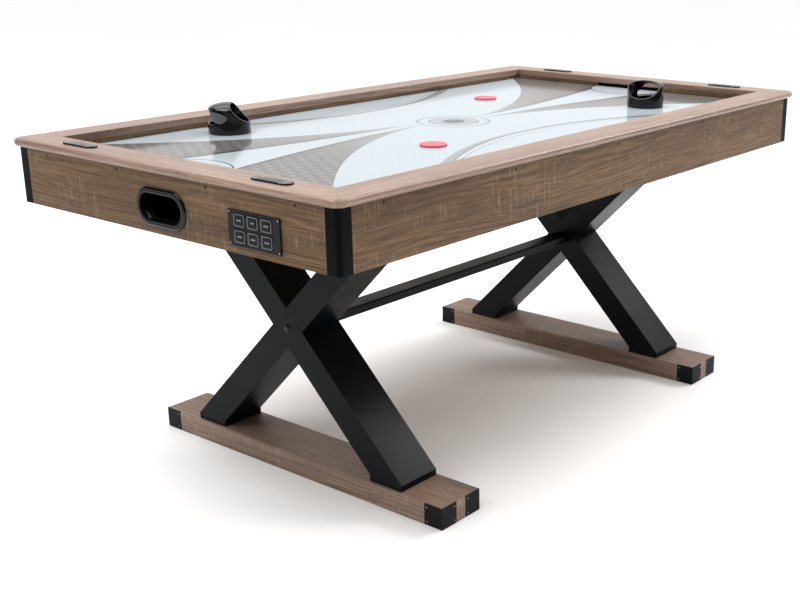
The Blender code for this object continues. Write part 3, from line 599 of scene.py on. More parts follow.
def slab(outline: Array, axis: Axis, low: float, high: float, edge: float, steps: int = 3) -> Array:
    """Rings of a plate whose rim is a quarter circle at each face.

    At an angle a, a ring is inset by edge (1 - cos a) and is edge (1 - sin a) in from the face.

    Args:
        outline: The plate's outline.
        axis: The direction it is drawn along.
        low: Its lower face.
        high: Its upper face.
        edge: Radius of its rounded edges.
        steps: Steps in each rounded edge.

    Returns:
        Rings, from the lower face to the upper.
    """
    outline = counter_clockwise(np.asarray(outline, float))
    turn = np.radians(np.linspace(90, 0, steps + 1))
    drawn = [inset(outline, edge * (1 - math.cos(a))) for a in turn]
    depth = edge * (1 - np.sin(turn))
    rings = [on_axis(ring, axis, low + d) for ring, d in zip(drawn, depth)]
    return np.stack(rings + [on_axis(ring, axis, high - d) for ring, d in zip(drawn[::-1], depth[::-1])])


def turned(profile: Array, count: int = 64) -> Array:
    """Rings of a shape turned about Z: (radius cos t, radius sin t, z) for each profile point.

    Args:
        profile: (radius, z) rows.
        count: Points round each ring.

    Returns:
        Rings in the profile's order.
    """
    turn = np.linspace(0, 2 * math.pi, count, endpoint=False)
    profile = np.asarray(profile, float)
    circle = np.stack([np.cos(turn), np.sin(turn)], 1)
    flat = profile[:, None, :1] * circle[None]
    heights = np.broadcast_to(profile[:, None, 1:], (len(profile), count, 1))
    return np.concatenate([flat, heights], axis=2)


def quarter(centre: tuple[float, float], radius: float, start: float, end: float, count: int) -> Array:
    """Points of an arc between two angles in degrees."""
    turn = np.radians(np.linspace(start, end, count + 1))
    return np.stack([centre[0] + radius * np.cos(turn), centre[1] + radius * np.sin(turn)], 1)


def flowing(points: Sequence[tuple[float, float]], steps: int) -> Array:
    """A Catmull-Rom curve: a cubic between each two points, its slope there set by their neighbours."""
    p = np.array([points[0], *points, points[-1]], float)
    a, b, c, d = p[:-3, None], p[1:-2, None], p[2:-1, None], p[3:, None]
    t = (np.arange(steps) / steps)[None, :, None]
    bent = (2 * a - 5 * b + 4 * c - d) * t ** 2 + (3 * b - a - 3 * c + d) * t ** 3
    curve = 0.5 * (2 * b + (c - a) * t + bent)
    return np.concatenate([curve.reshape(-1, 2), p[-1:]])


class Shell:
    """Gathers point grids into one mesh."""

    def __init__(self) -> None:
        """Start with no points."""
        self.points: list[Array] = []
        self.faces: list[list[int]] = []
        self.total = 0

    def loft(self, rings: Array, capped: bool = True, wrapped: bool = False) -> "Shell":
        """Join rings of points with quads.

        Args:
            rings: An array of rings by points by three.
            capped: Close the first and last rings with a face.
            wrapped: Join the last ring to the first instead.

        Returns:
            The shell itself.
        """
        count, size = rings.shape[:2]
        index = self.total + np.arange(count * size).reshape(count, size)
        rows = np.concatenate([index, index[:1]]) if wrapped else index
        beside = np.roll(rows, -1, axis=1)
        quads = np.stack([rows[:-1], beside[:-1], beside[1:], rows[1:]], axis=-1).reshape(-1, 4)
        self.faces += quads.tolist()
        if capped and not wrapped:
            self.faces += [index[0][::-1].tolist(), index[-1].tolist()]
        self.points.append(rings.reshape(-1, 3))
        self.total += count * size
        return self

    def cells(self, points: Array, faces: Array) -> "Shell":
        """Add many copies of a small set of faces.

        Args:
            points: An array of copies by points by three.
            faces: The faces of one copy.

        Returns:
            The shell itself.
        """
        copies, size = points.shape[:2]
        shift = self.total + size * np.arange(copies)
        self.faces += (shift[:, None, None] + faces[None]).reshape(-1, faces.shape[1]).tolist()
        self.points.append(points.reshape(-1, 3))
        self.total += copies * size
        return self

    def mesh(self, name: str, matrix: Matrix | None = None, sharp: float = 35.0) -> Mesh:
        """Weld the points, face everything outward and mark the sharp edges.

        Args:
            name: The mesh's name.
            matrix: Moves the points into place, if given.
            sharp: Edges above this angle, in degrees, stay sharp.

        Returns:
            The mesh.
        """
        mesh = bpy.data.meshes.new(name)
        mesh.from_pydata(np.concatenate(self.points).tolist(), [], self.faces)
        if matrix is not None:
            mesh.transform(matrix)
        bm = bmesh.new()
        bm.from_mesh(mesh)
        bmesh.ops.remove_doubles(bm, verts=bm.verts, dist=WELD)
        bmesh.ops.dissolve_degenerate(bm, dist=WELD / 10, edges=bm.edges)
        bmesh.ops.recalc_face_normals(bm, faces=bm.faces)
        bm.to_mesh(mesh)
        bm.free()
        mesh.shade_smooth()
        mesh.set_sharp_from_angle(angle=math.radians(sharp))
        return mesh


def settled(made: Object) -> Mesh:
    """An object's mesh with its modifiers worked out."""
    view = bpy.context.evaluated_depsgraph_get()
    view.update()
    return bpy.data.meshes.new_from_object(made.evaluated_get(view), preserve_all_data_layers=True,
                                           depsgraph=view)


def linked(name: str, data: bpy.types.ID) -> Object:
    """A new object in the scene's collection."""
    made = bpy.data.objects.new(name, data)
    bpy.context.scene.collection.objects.link(made)
    return made


def softened(node: str, radius: float, segments: int = 2) -> Mesh:
    """A welded copy of a CAD node with its sharp edges rounded.

    Args:
        node: The CAD node.
        radius: How wide the rounding is.
        segments: Steps across it.

    Returns:
        The new mesh.
    """
    bm = bmesh.new()
    bm.from_mesh(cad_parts[node].data)
    bmesh.ops.remove_doubles(bm, verts=bm.verts, dist=5 * WELD)
    bmesh.ops.dissolve_limit(bm, angle_limit=math.radians(0.5), verts=bm.verts, edges=bm.edges)
    bmesh.ops.recalc_face_normals(bm, faces=bm.faces)
    limit = math.radians(32)
    edges = [e for e in bm.edges if len(e.link_faces) == 2 and e.calc_face_angle(0.0) > limit]
    bmesh.ops.bevel(bm, geom=edges, offset=radius, offset_type="OFFSET", segments=segments, profile=0.5,
                    affect="EDGES", clamp_overlap=True)
    mesh = bpy.data.meshes.new(f"{node}_soft")
    bm.to_mesh(mesh)
    bm.free()
    mesh.shade_smooth()
    mesh.set_sharp_from_angle(angle=math.radians(60))
    made = linked(mesh.name, mesh)
    made.modifiers.new("flats", "WEIGHTED_NORMAL").keep_sharp = True
    mesh = settled(made)
    bpy.data.objects.remove(made)
    return mesh


def put(name: str, mesh: Mesh, finish: Finish, node: str = "", body: str = ROOT) -> None:
    """Link a new piece, dress it and let it ride on its body.

    Args:
        name: The piece's name.
        mesh: Its mesh, already in place.
        finish: Its material.
        node: The CAD node it replaces, if any.
        body: The CAD body that carries it.
    """
    mesh.name = name
    mesh.materials.clear()
    mesh.materials.append(finish.material())
    piece = linked(name, mesh)
    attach(piece, body)
    if node:
        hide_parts(node)
    LOG.info("%s on %s, %d faces", name, body, len(mesh.polygons))


def ease(node: str, suffix: str, radius: float, finish: Finish, segments: int = 2) -> None:
    """Stand a softened copy of a CAD node in for it, the suffix added to its name."""
    put(f"{node}_{suffix}", softened(node, radius, segments), finish, node)


def named(start: str) -> list[str]:
    """The CAD nodes whose names start so."""
    return [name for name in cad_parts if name.startswith(start)]


def box(node: str) -> tuple[Array, Array, Array]:
    """A CAD node's lowest corner, highest corner and middle."""
    low, high = (np.array(v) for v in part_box(node))
    return low, high, (low + high) / 2


def domes(spots: Sequence[tuple], outward: Sequence[float], radius: float, height: float,
          shell: Shell | None = None) -> Shell:
    """Small screw heads: each a low dome with a dished cross-drive.

    A head is turned from a profile, and is laid with its axis along outward.

    Args:
        spots: Centres on the surface, one row each.
        outward: The direction they face.
        radius: Head radius.
        height: How far they stand out.
        shell: The shell to add them to, else a new one.

    Returns:
        A shell that holds them all.
    """
    rim = quarter((0, 0), 1.0, 0, 62, 4)
    drive = [(0.36, 0.92), (0.22, 0.35), (0, 0.3)]
    rings = turned(np.concatenate([[(1.0, -0.2)], rim, drive]) * (radius, height), 16)
    turn = np.array(Vector((0, 0, 1)).rotation_difference(Vector(outward)).to_matrix())
    shell = shell or Shell()
    for spot in spots:
        shell.loft(rings @ turn.T + spot, capped=False)
    return shell


# ---- the pieces
class Oak(Enum):
    """How each kind of board is seeded."""

    APRON = 1.0
    RAIL = 7.3
    WALL = 13.9
    FOOT = 21.1


@dataclass
class TopRails:
    """Four mitred rails: a half-round nose outside, rounded corners, small rounds inside."""

    length: float = 1.829
    width: float = 1.016
    corner: float = 0.028
    board: float = 0.080
    nose: float = 0.009
    edge: float = 0.0018
    low: float = 0.762
    high: float = 0.780
    joint: float = 0.0003

    def profile(self) -> Array:
        """The rail's section as (distance in from the nose, z): a half circle, and two quarter circles.

        Returns:
            Section points, in order round the section.
        """
        middle = (self.low + self.high) / 2
        nose = quarter((self.nose, middle), self.nose, 90, 270, 14)
        bottom = quarter((self.board - self.edge, self.low + self.edge), self.edge, 270, 360, 4)
        top = quarter((self.board - self.edge, self.high - self.edge), self.edge, 0, 90, 4)
        return np.concatenate([nose, bottom, top])

    def rings(self, span: float, depth: float) -> Array:
        """Carry the section along one side of the rounded frame, from mitre to mitre.

        At a corner, a point d in from the nose is on an arc of radius corner - d, or, when d is more than
        corner, it stays on the mitre, d - corner inside the arc's centre.

        Args:
            span: The frame's size along the rail.
            depth: The frame's size across it.

        Returns:
            Sections by points by three, for the rail at -Y.
        """
        d, z = self.profile().T
        beyond = np.maximum(d - self.corner, 0.0)[None]
        bend = np.maximum(self.corner - d, 0.0)[None]
        turn = np.radians(np.linspace(0, 45, 13))[:, None]
        along = span / 2 - self.corner - self.joint / 2
        across = depth / 2 - self.corner
        y = -across + beyond - bend * np.cos(turn)
        x = along - beyond + bend * np.sin(turn)
        levels = np.broadcast_to(z[None], y.shape)
        right = np.stack([x, y, levels], 2)
        left = np.stack([-x, y, levels], 2)[::-1]
        return np.concatenate([left, right])

    def build(self) -> None:
        """Make the four rails."""
        names = ("rail_side_front", "rail_end_right", "rail_side_back", "rail_end_left")
        for number, name in enumerate(names):
            turn = 90 * number
            spans = (self.length, self.width) if number % 2 == 0 else (self.width, self.length)
            placed = Matrix.Rotation(math.radians(turn), 4, "Z")
            mesh = Shell().loft(self.rings(*spans)).mesh(name, placed, 50)
            # Painted reflection: the rails are the aprons' oak, coloured lighter and pinker to stand in for
            # the bright sky their tops reflect at a grazing angle.
            finish = Timber(f"oak {name}", Axis(number % 2), Oak.RAIL.value + turn / 37, ink(102, 79, 66),
                            ink(133, 108, 93), ink(157, 131, 116), ink(176, 151, 136), saw=0.35,
                            rough=(0.30, 0.42), specular=0.5)
            put(f"top_{name}", mesh, finish, name)


@dataclass
class Cabinet:
    """Aprons, posts and walls, their edges eased, and dark discs painted as the shade in the countersunk
    holes below the rails.
    """

    edge: float = 0.0008
    hole_z: float = 0.7525
    hole: tuple[float, float] = (0.0030, 0.0003)
    side_holes: tuple[float, ...] = (-0.786, -0.393, 0.0, 0.393, 0.786)
    end_holes: tuple[float, ...] = (-0.387, -0.140, 0.140, 0.387)

    def build(self) -> None:
        """Make every board and post of the cabinet."""
        for face in FACES:
            self.board(f"apron_side_{face}", Axis.X, Oak.APRON)
            self.board(f"wall_side_{face}", Axis.X, Oak.WALL)
        for side in SIDES:
            self.board(f"apron_end_{side}", Axis.Y, Oak.APRON)
            self.board(f"wall_end_{side}", Axis.Y, Oak.WALL)
        satin = Coated("post plastic", ink(2, 4, 6), ink(8, 12, 14), rough=(0.34, 0.48), specular=0.05)
        for node in named("corner_post"):
            ease(node, "body", 0.0012, satin, 3)
        self.holes()

    def board(self, node: str, axis: Axis, kind: Oak) -> None:
        """One oak board, with its own stretch of grain."""
        finish = Timber(f"oak {node}", axis, kind.value + 3.1 * (len(node) % 7) + node.count("k"))
        ease(node, "board", self.edge, finish)

    def holes(self) -> None:
        """Painted shade of the screw recesses: each a dark dished disc set in its apron's face."""
        # This dark colour is painted shade of the holes.
        dark = Coated("painted hole shade", ink(20, 18, 17), ink(46, 40, 36), specular=0.1)
        for face, sign in FACES.items():
            y = sign * box("apron_side_back")[1][1]
            shell = domes([(x, y, self.hole_z) for x in self.side_holes], (0, sign, 0), *self.hole)
            put(f"hole_shade_side_{face}", shell.mesh(f"screws_{face}"), dark)
        for side, sign in SIDES.items():
            x = sign * box("apron_end_right")[1][0]
            shell = domes([(x, y, self.hole_z) for y in self.end_holes], (sign, 0, 0), *self.hole)
            put(f"hole_shade_end_{side}", shell.mesh(f"screws_{side}"), dark)


@dataclass
class PlayingField:
    """The printed board, its air holes sunk on a square grid."""

    pitch: float = 0.0254
    columns: int = 65
    rows: int = 33
    hole: float = 0.0009
    sunk: float = 0.0020
    goal: float = 0.118
    play_x: float = 0.8345

    def build(self) -> None:
        """Make the field from perforated cells and plain blocks round them."""
        low, high, _ = box("playfield")
        shell = Shell()
        self.perforated(shell, low[2], high[2])
        inner_x, inner_y = self.columns * self.pitch / 2, self.rows * self.pitch / 2
        blocks = []
        for s in (-1, 1):
            blocks.append(((low[0], high[0]), (s * inner_y, s * high[1])))
            blocks.append(((s * inner_x, s * self.play_x), (-inner_y, inner_y)))
            blocks += [((s * self.play_x, s * high[0]), (t * self.goal, t * inner_y)) for t in (-1, 1)]
        for xs, ys in blocks:
            corners = np.array([(xs[0], ys[0]), (xs[1], ys[0]), (xs[1], ys[1]), (xs[0], ys[1])])
            shell.loft(slab(corners, Axis.Z, low[2], high[2], 0.0, 1))
        put("playing_field", shell.mesh("playing_field", sharp=30), PrintedField("field print"),
            "playfield")

    def perforated(self, shell: Shell, bottom: float, top: float) -> None:
        """Square cells, each an eight-point rim joined to an eight-sided hole.

        Rim point k is at the cell's corner or side middle, at angle 45 k; the hole's point k is on a circle
        at the same angle, once at the top and once at the hole's floor.

        Args:
            shell: Where to add the cells, and the field's sides and underside below them.
            bottom: Height of the underside.
            top: Height of the playing surface.
        """
        k = np.arange(8)
        after = (k + 1) % 8
        turn = np.radians(45.0 * k)
        circle = np.stack([np.cos(turn), np.sin(turn)], 1)
        rim = np.sign(np.round(circle, 6)) * self.pitch / 2
        points = np.concatenate([on_axis(rim, Axis.Z, top), on_axis(self.hole * circle, Axis.Z, top),
                                 on_axis(self.hole * circle, Axis.Z, top - self.sunk)])
        quads = np.concatenate([np.stack([k, after, 8 + after, 8 + k], 1),
                                np.stack([8 + k, 8 + after, 16 + after, 16 + k], 1)])
        across, along = np.meshgrid((np.arange(self.rows) - (self.rows - 1) / 2) * self.pitch,
                                    (np.arange(self.columns) - (self.columns - 1) / 2) * self.pitch)
        centres = np.stack([along.ravel(), across.ravel(), np.zeros(along.size)], 1)
        copies = centres[:, None, :] + points[None]
        start = shell.total
        shell.cells(copies, quads)
        floors = start + np.arange(len(centres))[:, None] * len(points)
        shell.faces += (floors + 16 + k).tolist()
        half_x, half_y, step = self.columns * self.pitch / 2, self.rows * self.pitch / 2, self.pitch / 2
        xs = np.arange(-half_x, half_x - step / 2, step)
        ys = np.arange(-half_y, half_y - step / 2, step)
        front = np.stack([xs, np.full(len(xs), -half_y)], 1)
        right = np.stack([np.full(len(ys), half_x), ys], 1)
        loop = np.concatenate([front, right, -front, -right])
        start = shell.total
        shell.loft(np.stack([on_axis(loop, Axis.Z, bottom), on_axis(loop, Axis.Z, top)]), capped=False)
        shell.faces.append(list(range(start, start + len(loop)))[::-1])


@dataclass
class PuckReturns:
    """At each end, the oval mouth in the apron: a glossy moulded rim in front of a deep dark pocket."""

    length: float = 0.154
    height: float = 0.080
    lip: float = 0.012
    centre_z: float = 0.691
    apron_x: float = 0.9015

    def build(self) -> None:
        """Make both mouths."""
        gloss = Coated("return gloss", ink(5, 6, 8), ink(16, 18, 20), (0.12, 0.2), 0.30)
        inside = Coated("return pocket", ink(6, 7, 8), ink(16, 17, 18), (0.5, 0.6), 0.10)
        for side, sign in SIDES.items():
            node = f"puck_return_{side}"
            ease(node, "pocket", 0.0005, inside)
            put(f"{node}_rim", self.rim(sign), gloss)

    def rim(self, sign: int) -> Mesh:
        """The oval rim: its section rounds over outside, is flat on top and rounds into the throat.

        Args:
            sign: Which end of the table.

        Returns:
            The rim's mesh.
        """
        outer = quarter((0.0048, 0.0), 0.0049, 180, 90, 6)
        flat = [(0.0062, 0.0047), (0.0078, 0.0047)]
        inner = quarter((self.lip - 0.0022, 0.0027), 0.0023, 90, 0, 5)
        section = np.concatenate([outer, flat, inner,
                                  [(self.lip + 0.0002, -0.010), (self.lip - 0.0012, -0.010)]])
        line = counter_clockwise(stadium((0, self.centre_z), self.length, self.height))
        face = self.apron_x + HAIR
        rings = [on_axis(inset(line, d), Axis.X, sign * (face + rise)) for d, rise in section]
        return Shell().loft(np.stack(rings), capped=False, wrapped=True).mesh("rim", sharp=50)


@dataclass(frozen=True)
class KeyPrint(Finish):
    """A key's face: matt black with a pale rounded outline and one plain bar."""

    centre: tuple[float, float] = (0.0, 0.0)
    bar: float = 0.012
    half: tuple[float, float] = (0.0135, 0.0110)
    stroke: float = 0.0007
    corner: float = 0.0035
    soft: float = 0.0002

    def dress(self, g: Graph) -> dict[str, object]:
        """The outline is a band at zero distance from a rounded rectangle; the bar is a small box."""
        _, y, z = g.split(g.place())
        u, v = abs(y - self.centre[0]), abs(z - self.centre[1])
        far = g.length(*(g.math("MAXIMUM", part - (half - self.corner), 0.0)
                         for part, half in zip((u, v), self.half)))
        outline = g.within(abs(far - self.corner), self.stroke - self.soft, self.stroke + self.soft)
        bar = g.within(u, self.bar / 2 - self.soft, self.bar / 2 + self.soft) * g.within(v, 0.0013, 0.0017)
        skin = g.group(SKIN, Vector=g.place(), Scale=3.0)
        mark = g.math("MAXIMUM", outline, bar) * (skin["Rub"] * -0.3 + 1.0)
        return {"Base Color": g.blend(mark, ink(12, 14, 17), ink(112, 120, 122)),
                "Roughness": g.step(skin["Cloud"], 0.3, 0.7, 0.34, 0.46),
                "Specular IOR Level": 0.15,
                "Normal": relief(g, mark + skin["Peel"] * 0.1, 0.3, 0.00005)}


@dataclass
class ControlPanel:
    """The plate, six keys, four screws and the board behind them."""

    bar: float = 0.012
    short_bar: float = 0.009
    inside: float = 0.0042

    def build(self) -> None:
        """Make the panel's pieces."""
        plate = Coated("panel plate", ink(13, 15, 18), ink(28, 31, 34), (0.34, 0.44), 0.15)
        put("panel_plate", softened("control_panel", 0.0004), plate, "control_panel")
        low, high, _ = box("control_panel")
        spots = [(low[0], y, z) for y in (low[1] + self.inside, high[1] - self.inside)
                 for z in (low[2] + self.inside, high[2] - self.inside)]
        bright = Coated("panel screws", ink(150, 152, 154), ink(186, 188, 190), (0.25, 0.4), 0.5,
                        metallic=0.8)
        put("panel_screws", domes(spots, (-1, 0, 0), 0.0019, 0.0006).mesh("panel_screws"), bright)
        for row in ("top", "bottom"):
            for number in (1, 2, 3):
                self.key(f"key_{row}_{number}", self.short_bar if (row, number) == ("top", 2) else self.bar)
        put("panel_board", softened("control_board", 0.0002, 1), CircuitBoard("solder mask"),
            "control_board")

    @staticmethod
    def key(node: str, bar: float) -> None:
        """One key: a rounded cap that rides on its own body."""
        low, high, middle = box(node)
        outline = rounded_box(middle[1:], high[1] - low[1], high[2] - low[2], 0.004, 8)
        mesh = Shell().loft(slab(outline, Axis.X, low[0], high[0], 0.0004)).mesh(node)
        finish = KeyPrint(f"print {node}", tuple(middle[1:]), bar)
        put(f"{node}_cap", mesh, finish, node, node)


@dataclass(frozen=True)
class DisplayLens(Finish):
    """A smoked lens: a dark window amid grey, faceted round ends whose bright spots are painted glints."""

    centre: tuple[float, float] = (0.0, 0.0)
    window: float = 0.031

    def dress(self, g: Graph) -> dict[str, object]:
        """The window is where the distance along the lens is small; facets are ridges outside it, coloured
        from the ends' dark grey up to bright painted glints at their centres.
        """
        x, y, z = g.split(g.place())
        along, across, edge = abs(y - self.centre[1]), abs(x - self.centre[0]), self.window
        facet = g.wire("ShaderNodeTexVoronoi", {"Vector": g.place(), "Scale": 170.0}, "Distance")
        # Painted glints: each facet centre is coloured bright, fading to the ends' dark grey.
        ends_and_glints = g.ramp(facet, (0.08, ink(170, 172, 176)), (0.3, ink(84, 84, 89)), (0.7, ink(34, 34, 38)))
        dark = g.blend(g.step(across, 0.004, 0.011), ink(40, 25, 29), ink(24, 18, 20))
        face = g.blend(g.step(along, edge - 0.001, edge + 0.001), dark, ends_and_glints)
        border = g.step(along, edge - 0.0016, edge - 0.0010) * g.within(along, edge, edge + 0.0006)
        face = g.blend(border, face, ink(104, 102, 104))
        return {"Base Color": g.blend(g.step(z, 0.7829, 0.7834), ink(8, 6, 6), face),
                "Roughness": facet * 0.15 + 0.12,
                "Specular IOR Level": 0.22,
                "Normal": relief(g, facet * g.step(along, edge, edge + 0.004), 0.5, 0.0006)}


@dataclass
class ScoreDisplays:
    """Four pills on the end rails, each a lens with a domed rim."""

    length: float = 0.104
    width: float = 0.028
    edge: float = 0.0014

    def build(self) -> None:
        """Make the four lenses."""
        for node in named("score_display"):
            low, high, middle = box(node)
            line = stadium((middle[1], middle[0]), self.length, self.width)[:, ::-1]
            rings = slab(line, Axis.Z, low[2], high[2], self.edge, 5)
            put(f"{node}_lens", Shell().loft(rings).mesh(node, sharp=60),
                DisplayLens(f"lens {node}", tuple(middle[:2])), node)


@dataclass
class LegFrames:
    """Crossed legs, their bolts and the stretcher."""

    edge: float = 0.0018

    def build(self) -> None:
        """Make the legs, the stretcher and the bolts."""
        satin = Coated("leg paint", ink(1, 6, 9), ink(6, 17, 23), (0.32, 0.40), 0.10)
        for node in named("leg_") + ["stretcher"]:
            ease(node, "beam", self.edge, satin, 3)
        steel = Coated("bolt steel", ink(30, 33, 36), ink(62, 66, 70), (0.3, 0.42), 0.4, metallic=0.5)
        for side in SIDES:
            ease(f"cross_bolt_{side}", "body", 0.0006, steel)


@dataclass
class FloorBeams:
    """Two oak beams with black corner plates and small screws."""

    edge: float = 0.002
    screw: float = 0.0022
    proud: float = 0.0008
    from_end: float = 0.007
    from_top: float = 0.008

    def build(self) -> None:
        """Make the beams, their plates and the plates' screws."""
        black = Coated("plate plastic", ink(7, 9, 12), ink(22, 25, 28), (0.36, 0.48), 0.12)
        grey = Coated("plate screws", ink(120, 122, 124), ink(160, 162, 164), (0.3, 0.45), metallic=0.7)
        for number, side in enumerate(SIDES):
            node = f"foot_beam_{side}"
            # Painted light: the beams' oak is coloured lighter and pinker than the aprons' to offset the
            # shade the table casts over them.
            finish = Timber(f"oak {node}", Axis.Y, Oak.FOOT.value + 5.7 * number, ink(88, 70, 58),
                            ink(124, 101, 86), ink(150, 126, 109), ink(172, 148, 130), specular=0.5)
            ease(node, "board", self.edge, finish, 3)
        for node in named("foot_plate"):
            ease(node, "cover", 0.0008, black)
            self.screws(node, grey)

    def screws(self, node: str, finish: Finish) -> None:
        """Two screws on each outer face of a corner plate, near its inner upright edge."""
        low, high, middle = box(node)
        beam = box("foot_beam_left" if middle[0] < 0 else "foot_beam_right")[2]
        sign = np.sign(middle - beam)
        outer = np.where(sign > 0, high, low)
        inner = np.where(sign > 0, low, high) + sign * self.from_end
        heights = (low[2] + self.from_top, high[2] - self.from_top)
        shell = domes([(outer[0], inner[1], z) for z in heights], (sign[0], 0, 0), self.screw, self.proud)
        domes([(inner[0], outer[1], z) for z in heights], (0, sign[1], 0), self.screw, self.proud, shell)
        put(f"{node}_screws", shell.mesh(f"{node}_screws"), finish)


@dataclass
class Pushers:
    """Two hooded pushers with moulded finger grips, on felt."""

    radius: float = 0.050
    wall: float = 0.0035
    shoulder: float = 0.052
    height: float = 0.0705
    floor: float = 0.004
    core: float = 0.0482
    grain: float = 0.0008
    front: tuple = ((0.004, 0.085), (0.008, 0.064), (0.030, 0.037), (0.051, 0.0235), (0.065, 0.020))
    grip: tuple = ((-0.060, 0.0270), (-0.030, 0.0215), (-0.006, 0.029), (0.006, 0.043), (-0.006, 0.055),
                   (-0.030, 0.0585), (-0.060, 0.061))
    back: tuple = ((-0.060, 0.0270), (-0.034, 0.0210), (-0.0310, 0.0320), (-0.0360, 0.0380),
                   (-0.0440, 0.0550), (-0.0480, 0.0590), (-0.060, 0.0600))
    places: dict = field(default_factory=lambda: {"left": (-0.460, 0.3155, -47.0),
                                                  "right": (0.5414, -0.2336, 191.0)})

    def profile(self, shrink: float) -> Array:
        """A cup's half section: an upright side, then a quarter ellipse to the crown.

        Args:
            shrink: How far inside the outer surface it runs.

        Returns:
            (radius, z) rows from the floor to the crown.
        """
        turn = np.radians(np.linspace(0, 90, 25))
        radius = self.radius - shrink
        rise = self.height - shrink - self.shoulder
        dome = np.stack([radius * np.cos(turn), self.shoulder + rise * np.sin(turn)], 1)
        base = self.floor if shrink else 0.0
        return np.concatenate([[(0.0, base), (radius, base)], dome])

    @staticmethod
    def wedge(curve: Array) -> Object:
        """A cutter: an (x, z) outline drawn across the whole cup along Y."""
        return linked("wedge", Shell().loft(slab(curve, Axis.Y, -0.06, 0.06, 0.0, 1)).mesh("wedge"))

    @staticmethod
    def spun(profile: Array) -> Object:
        """A solid turned from a (radius, z) profile."""
        return linked("spun", Shell().loft(turned(profile, 128), capped=False).mesh("spun"))

    def shape(self) -> Mesh:
        """Cut the grips, the cup, the slanted front and the back opening, then melt the edges round.

        The body is cut as solids and re-meshed in even small cells, and each cell corner is then drawn
        towards its neighbours' mean, which rounds every rim as a moulding's are.

        Returns:
            The shape, in its own frame: front along +X, floor at zero.
        """
        body = self.spun(self.profile(0.0))
        grip = self.wedge(flowing(self.grip, 8))
        self.carve(grip, self.spun([(0, -0.01), (self.core, -0.01), (self.core, 0.09), (0, 0.09)]))
        slant = np.concatenate([flowing(self.front, 8), [(0.09, 0.020), (0.09, 0.085)]])
        for cutter in (grip, self.spun(self.profile(self.wall)), self.wedge(slant),
                       self.wedge(flowing(self.back, 8))):
            self.carve(body, cutter)
        remesh = body.modifiers.new("cells", "REMESH")
        remesh.mode = "VOXEL"
        remesh.voxel_size = self.grain
        smooth = body.modifiers.new("melt", "SMOOTH")
        smooth.factor = 0.5
        smooth.iterations = 5
        mesh = settled(body)
        bpy.data.objects.remove(body)
        return mesh

    @staticmethod
    def carve(body: Object, cutter: Object) -> None:
        """Take the cutter away from the body, then drop the cutter."""
        cut = body.modifiers.new("cut", "BOOLEAN")
        cut.operation = "DIFFERENCE"
        cut.solver = "EXACT"
        cut.object = cutter
        mesh = settled(body)
        body.modifiers.clear()
        body.data = mesh
        bpy.data.objects.remove(cutter)

    def build(self) -> None:
        """Place the shape at both players' ends and lay the felts."""
        shape = self.shape()
        for side, (x, y, degrees) in self.places.items():
            node, turn = f"pusher_{side}", math.radians(degrees)
            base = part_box(node)[0][2]
            mesh = shape.copy()
            mesh.transform(Matrix.Translation((x, y, base)) @ Matrix.Rotation(turn, 4, "Z"))
            mesh.shade_smooth()
            finish = GripPlastic(f"pusher plastic {side}", (x, y), base, turn)
            put(f"{node}_hood", mesh, finish, node, node)
            self.felt(side, (x, y))

    @staticmethod
    def felt(side: str, centre: tuple[float, float]) -> None:
        """A thin round pad with a soft rim."""
        low, high, _ = box(f"pusher_felt_{side}")
        radius = (high[0] - low[0]) / 2
        rim = quarter((radius - 0.0006, high[2] - 0.0006), 0.0006, 0, 90, 3)
        profile = np.concatenate([[(0, low[2]), (radius, low[2])], rim, [(0, high[2])]])
        mesh = Shell().loft(turned(profile), capped=False).mesh("felt", Matrix.Translation((*centre, 0)))
        put(f"pusher_{side}_felt", mesh, Felt("felt"), f"pusher_felt_{side}", f"pusher_{side}")


@dataclass
class Pucks:
    """Two thin discs with a rounded rim and a shallow ring on top."""

    edge: float = 0.0012
    ring: float = 0.024
    dip: float = 0.0004
    slope: float = 0.0008

    def build(self) -> None:
        """Make both pucks."""
        red = Coated("puck plastic", ink(220, 84, 96), ink(238, 120, 130), (0.28, 0.4), 0.35, 2.0)
        for side in SIDES:
            low, high, centre = box(f"puck_{side}")
            radius = (high[0] - low[0]) / 2
            under = quarter((radius - self.edge, low[2] + self.edge), self.edge, 270, 360, 4)
            over = quarter((radius - self.edge, high[2] - self.edge), self.edge, 0, 90, 4)
            dish = [(self.ring + self.slope, high[2]), (self.ring, high[2] - self.dip),
                    (self.ring - self.slope, high[2]), (0, high[2])]
            profile = np.concatenate([[(0, low[2])], under, over, dish])
            place = Matrix.Translation((centre[0], centre[1], 0))
            mesh = Shell().loft(turned(profile, 96), capped=False).mesh("puck", place)
            put(f"puck_{side}_disc", mesh, red, f"puck_{side}", f"puck_{side}")


@dataclass
class AirWorks:
    """The tray, the blower and the power inlet."""

    def build(self) -> None:
        """Make each part from its CAD shape with eased edges."""
        black = Coated("works plastic", ink(20, 22, 24), ink(40, 42, 45), (0.4, 0.55), 0.25)
        steel = Coated("motor steel", ink(150, 152, 156), ink(182, 184, 188), (0.28, 0.4), 0.5,
                       metallic=0.9)
        ease("air_tray", "board", 0.001, Fibreboard("fibreboard"))
        ease("blower_case", "body", 0.0006, black)
        ease("blower_motor", "can", 0.0006, steel)
        put("blower_fan", softened("blower_impeller", 0.0003), black, "blower_impeller",
            "impeller")
        ease("power_inlet", "body", 0.0004, black)


# ---- the studio
@dataclass(frozen=True)
class PaleFloor(Finish):
    """The studio's floor."""

    def dress(self, g: Graph) -> dict[str, object]:
        """Almost white, with a very slow cloud."""
        cloud = g.noise(g.place(), 0.7, 0.7)
        return {"Base Color": g.blend(cloud, (0.92, 0.92, 0.92, 1), (0.95, 0.95, 0.95, 1)),
                "Roughness": 0.7, "Specular IOR Level": 0.2}


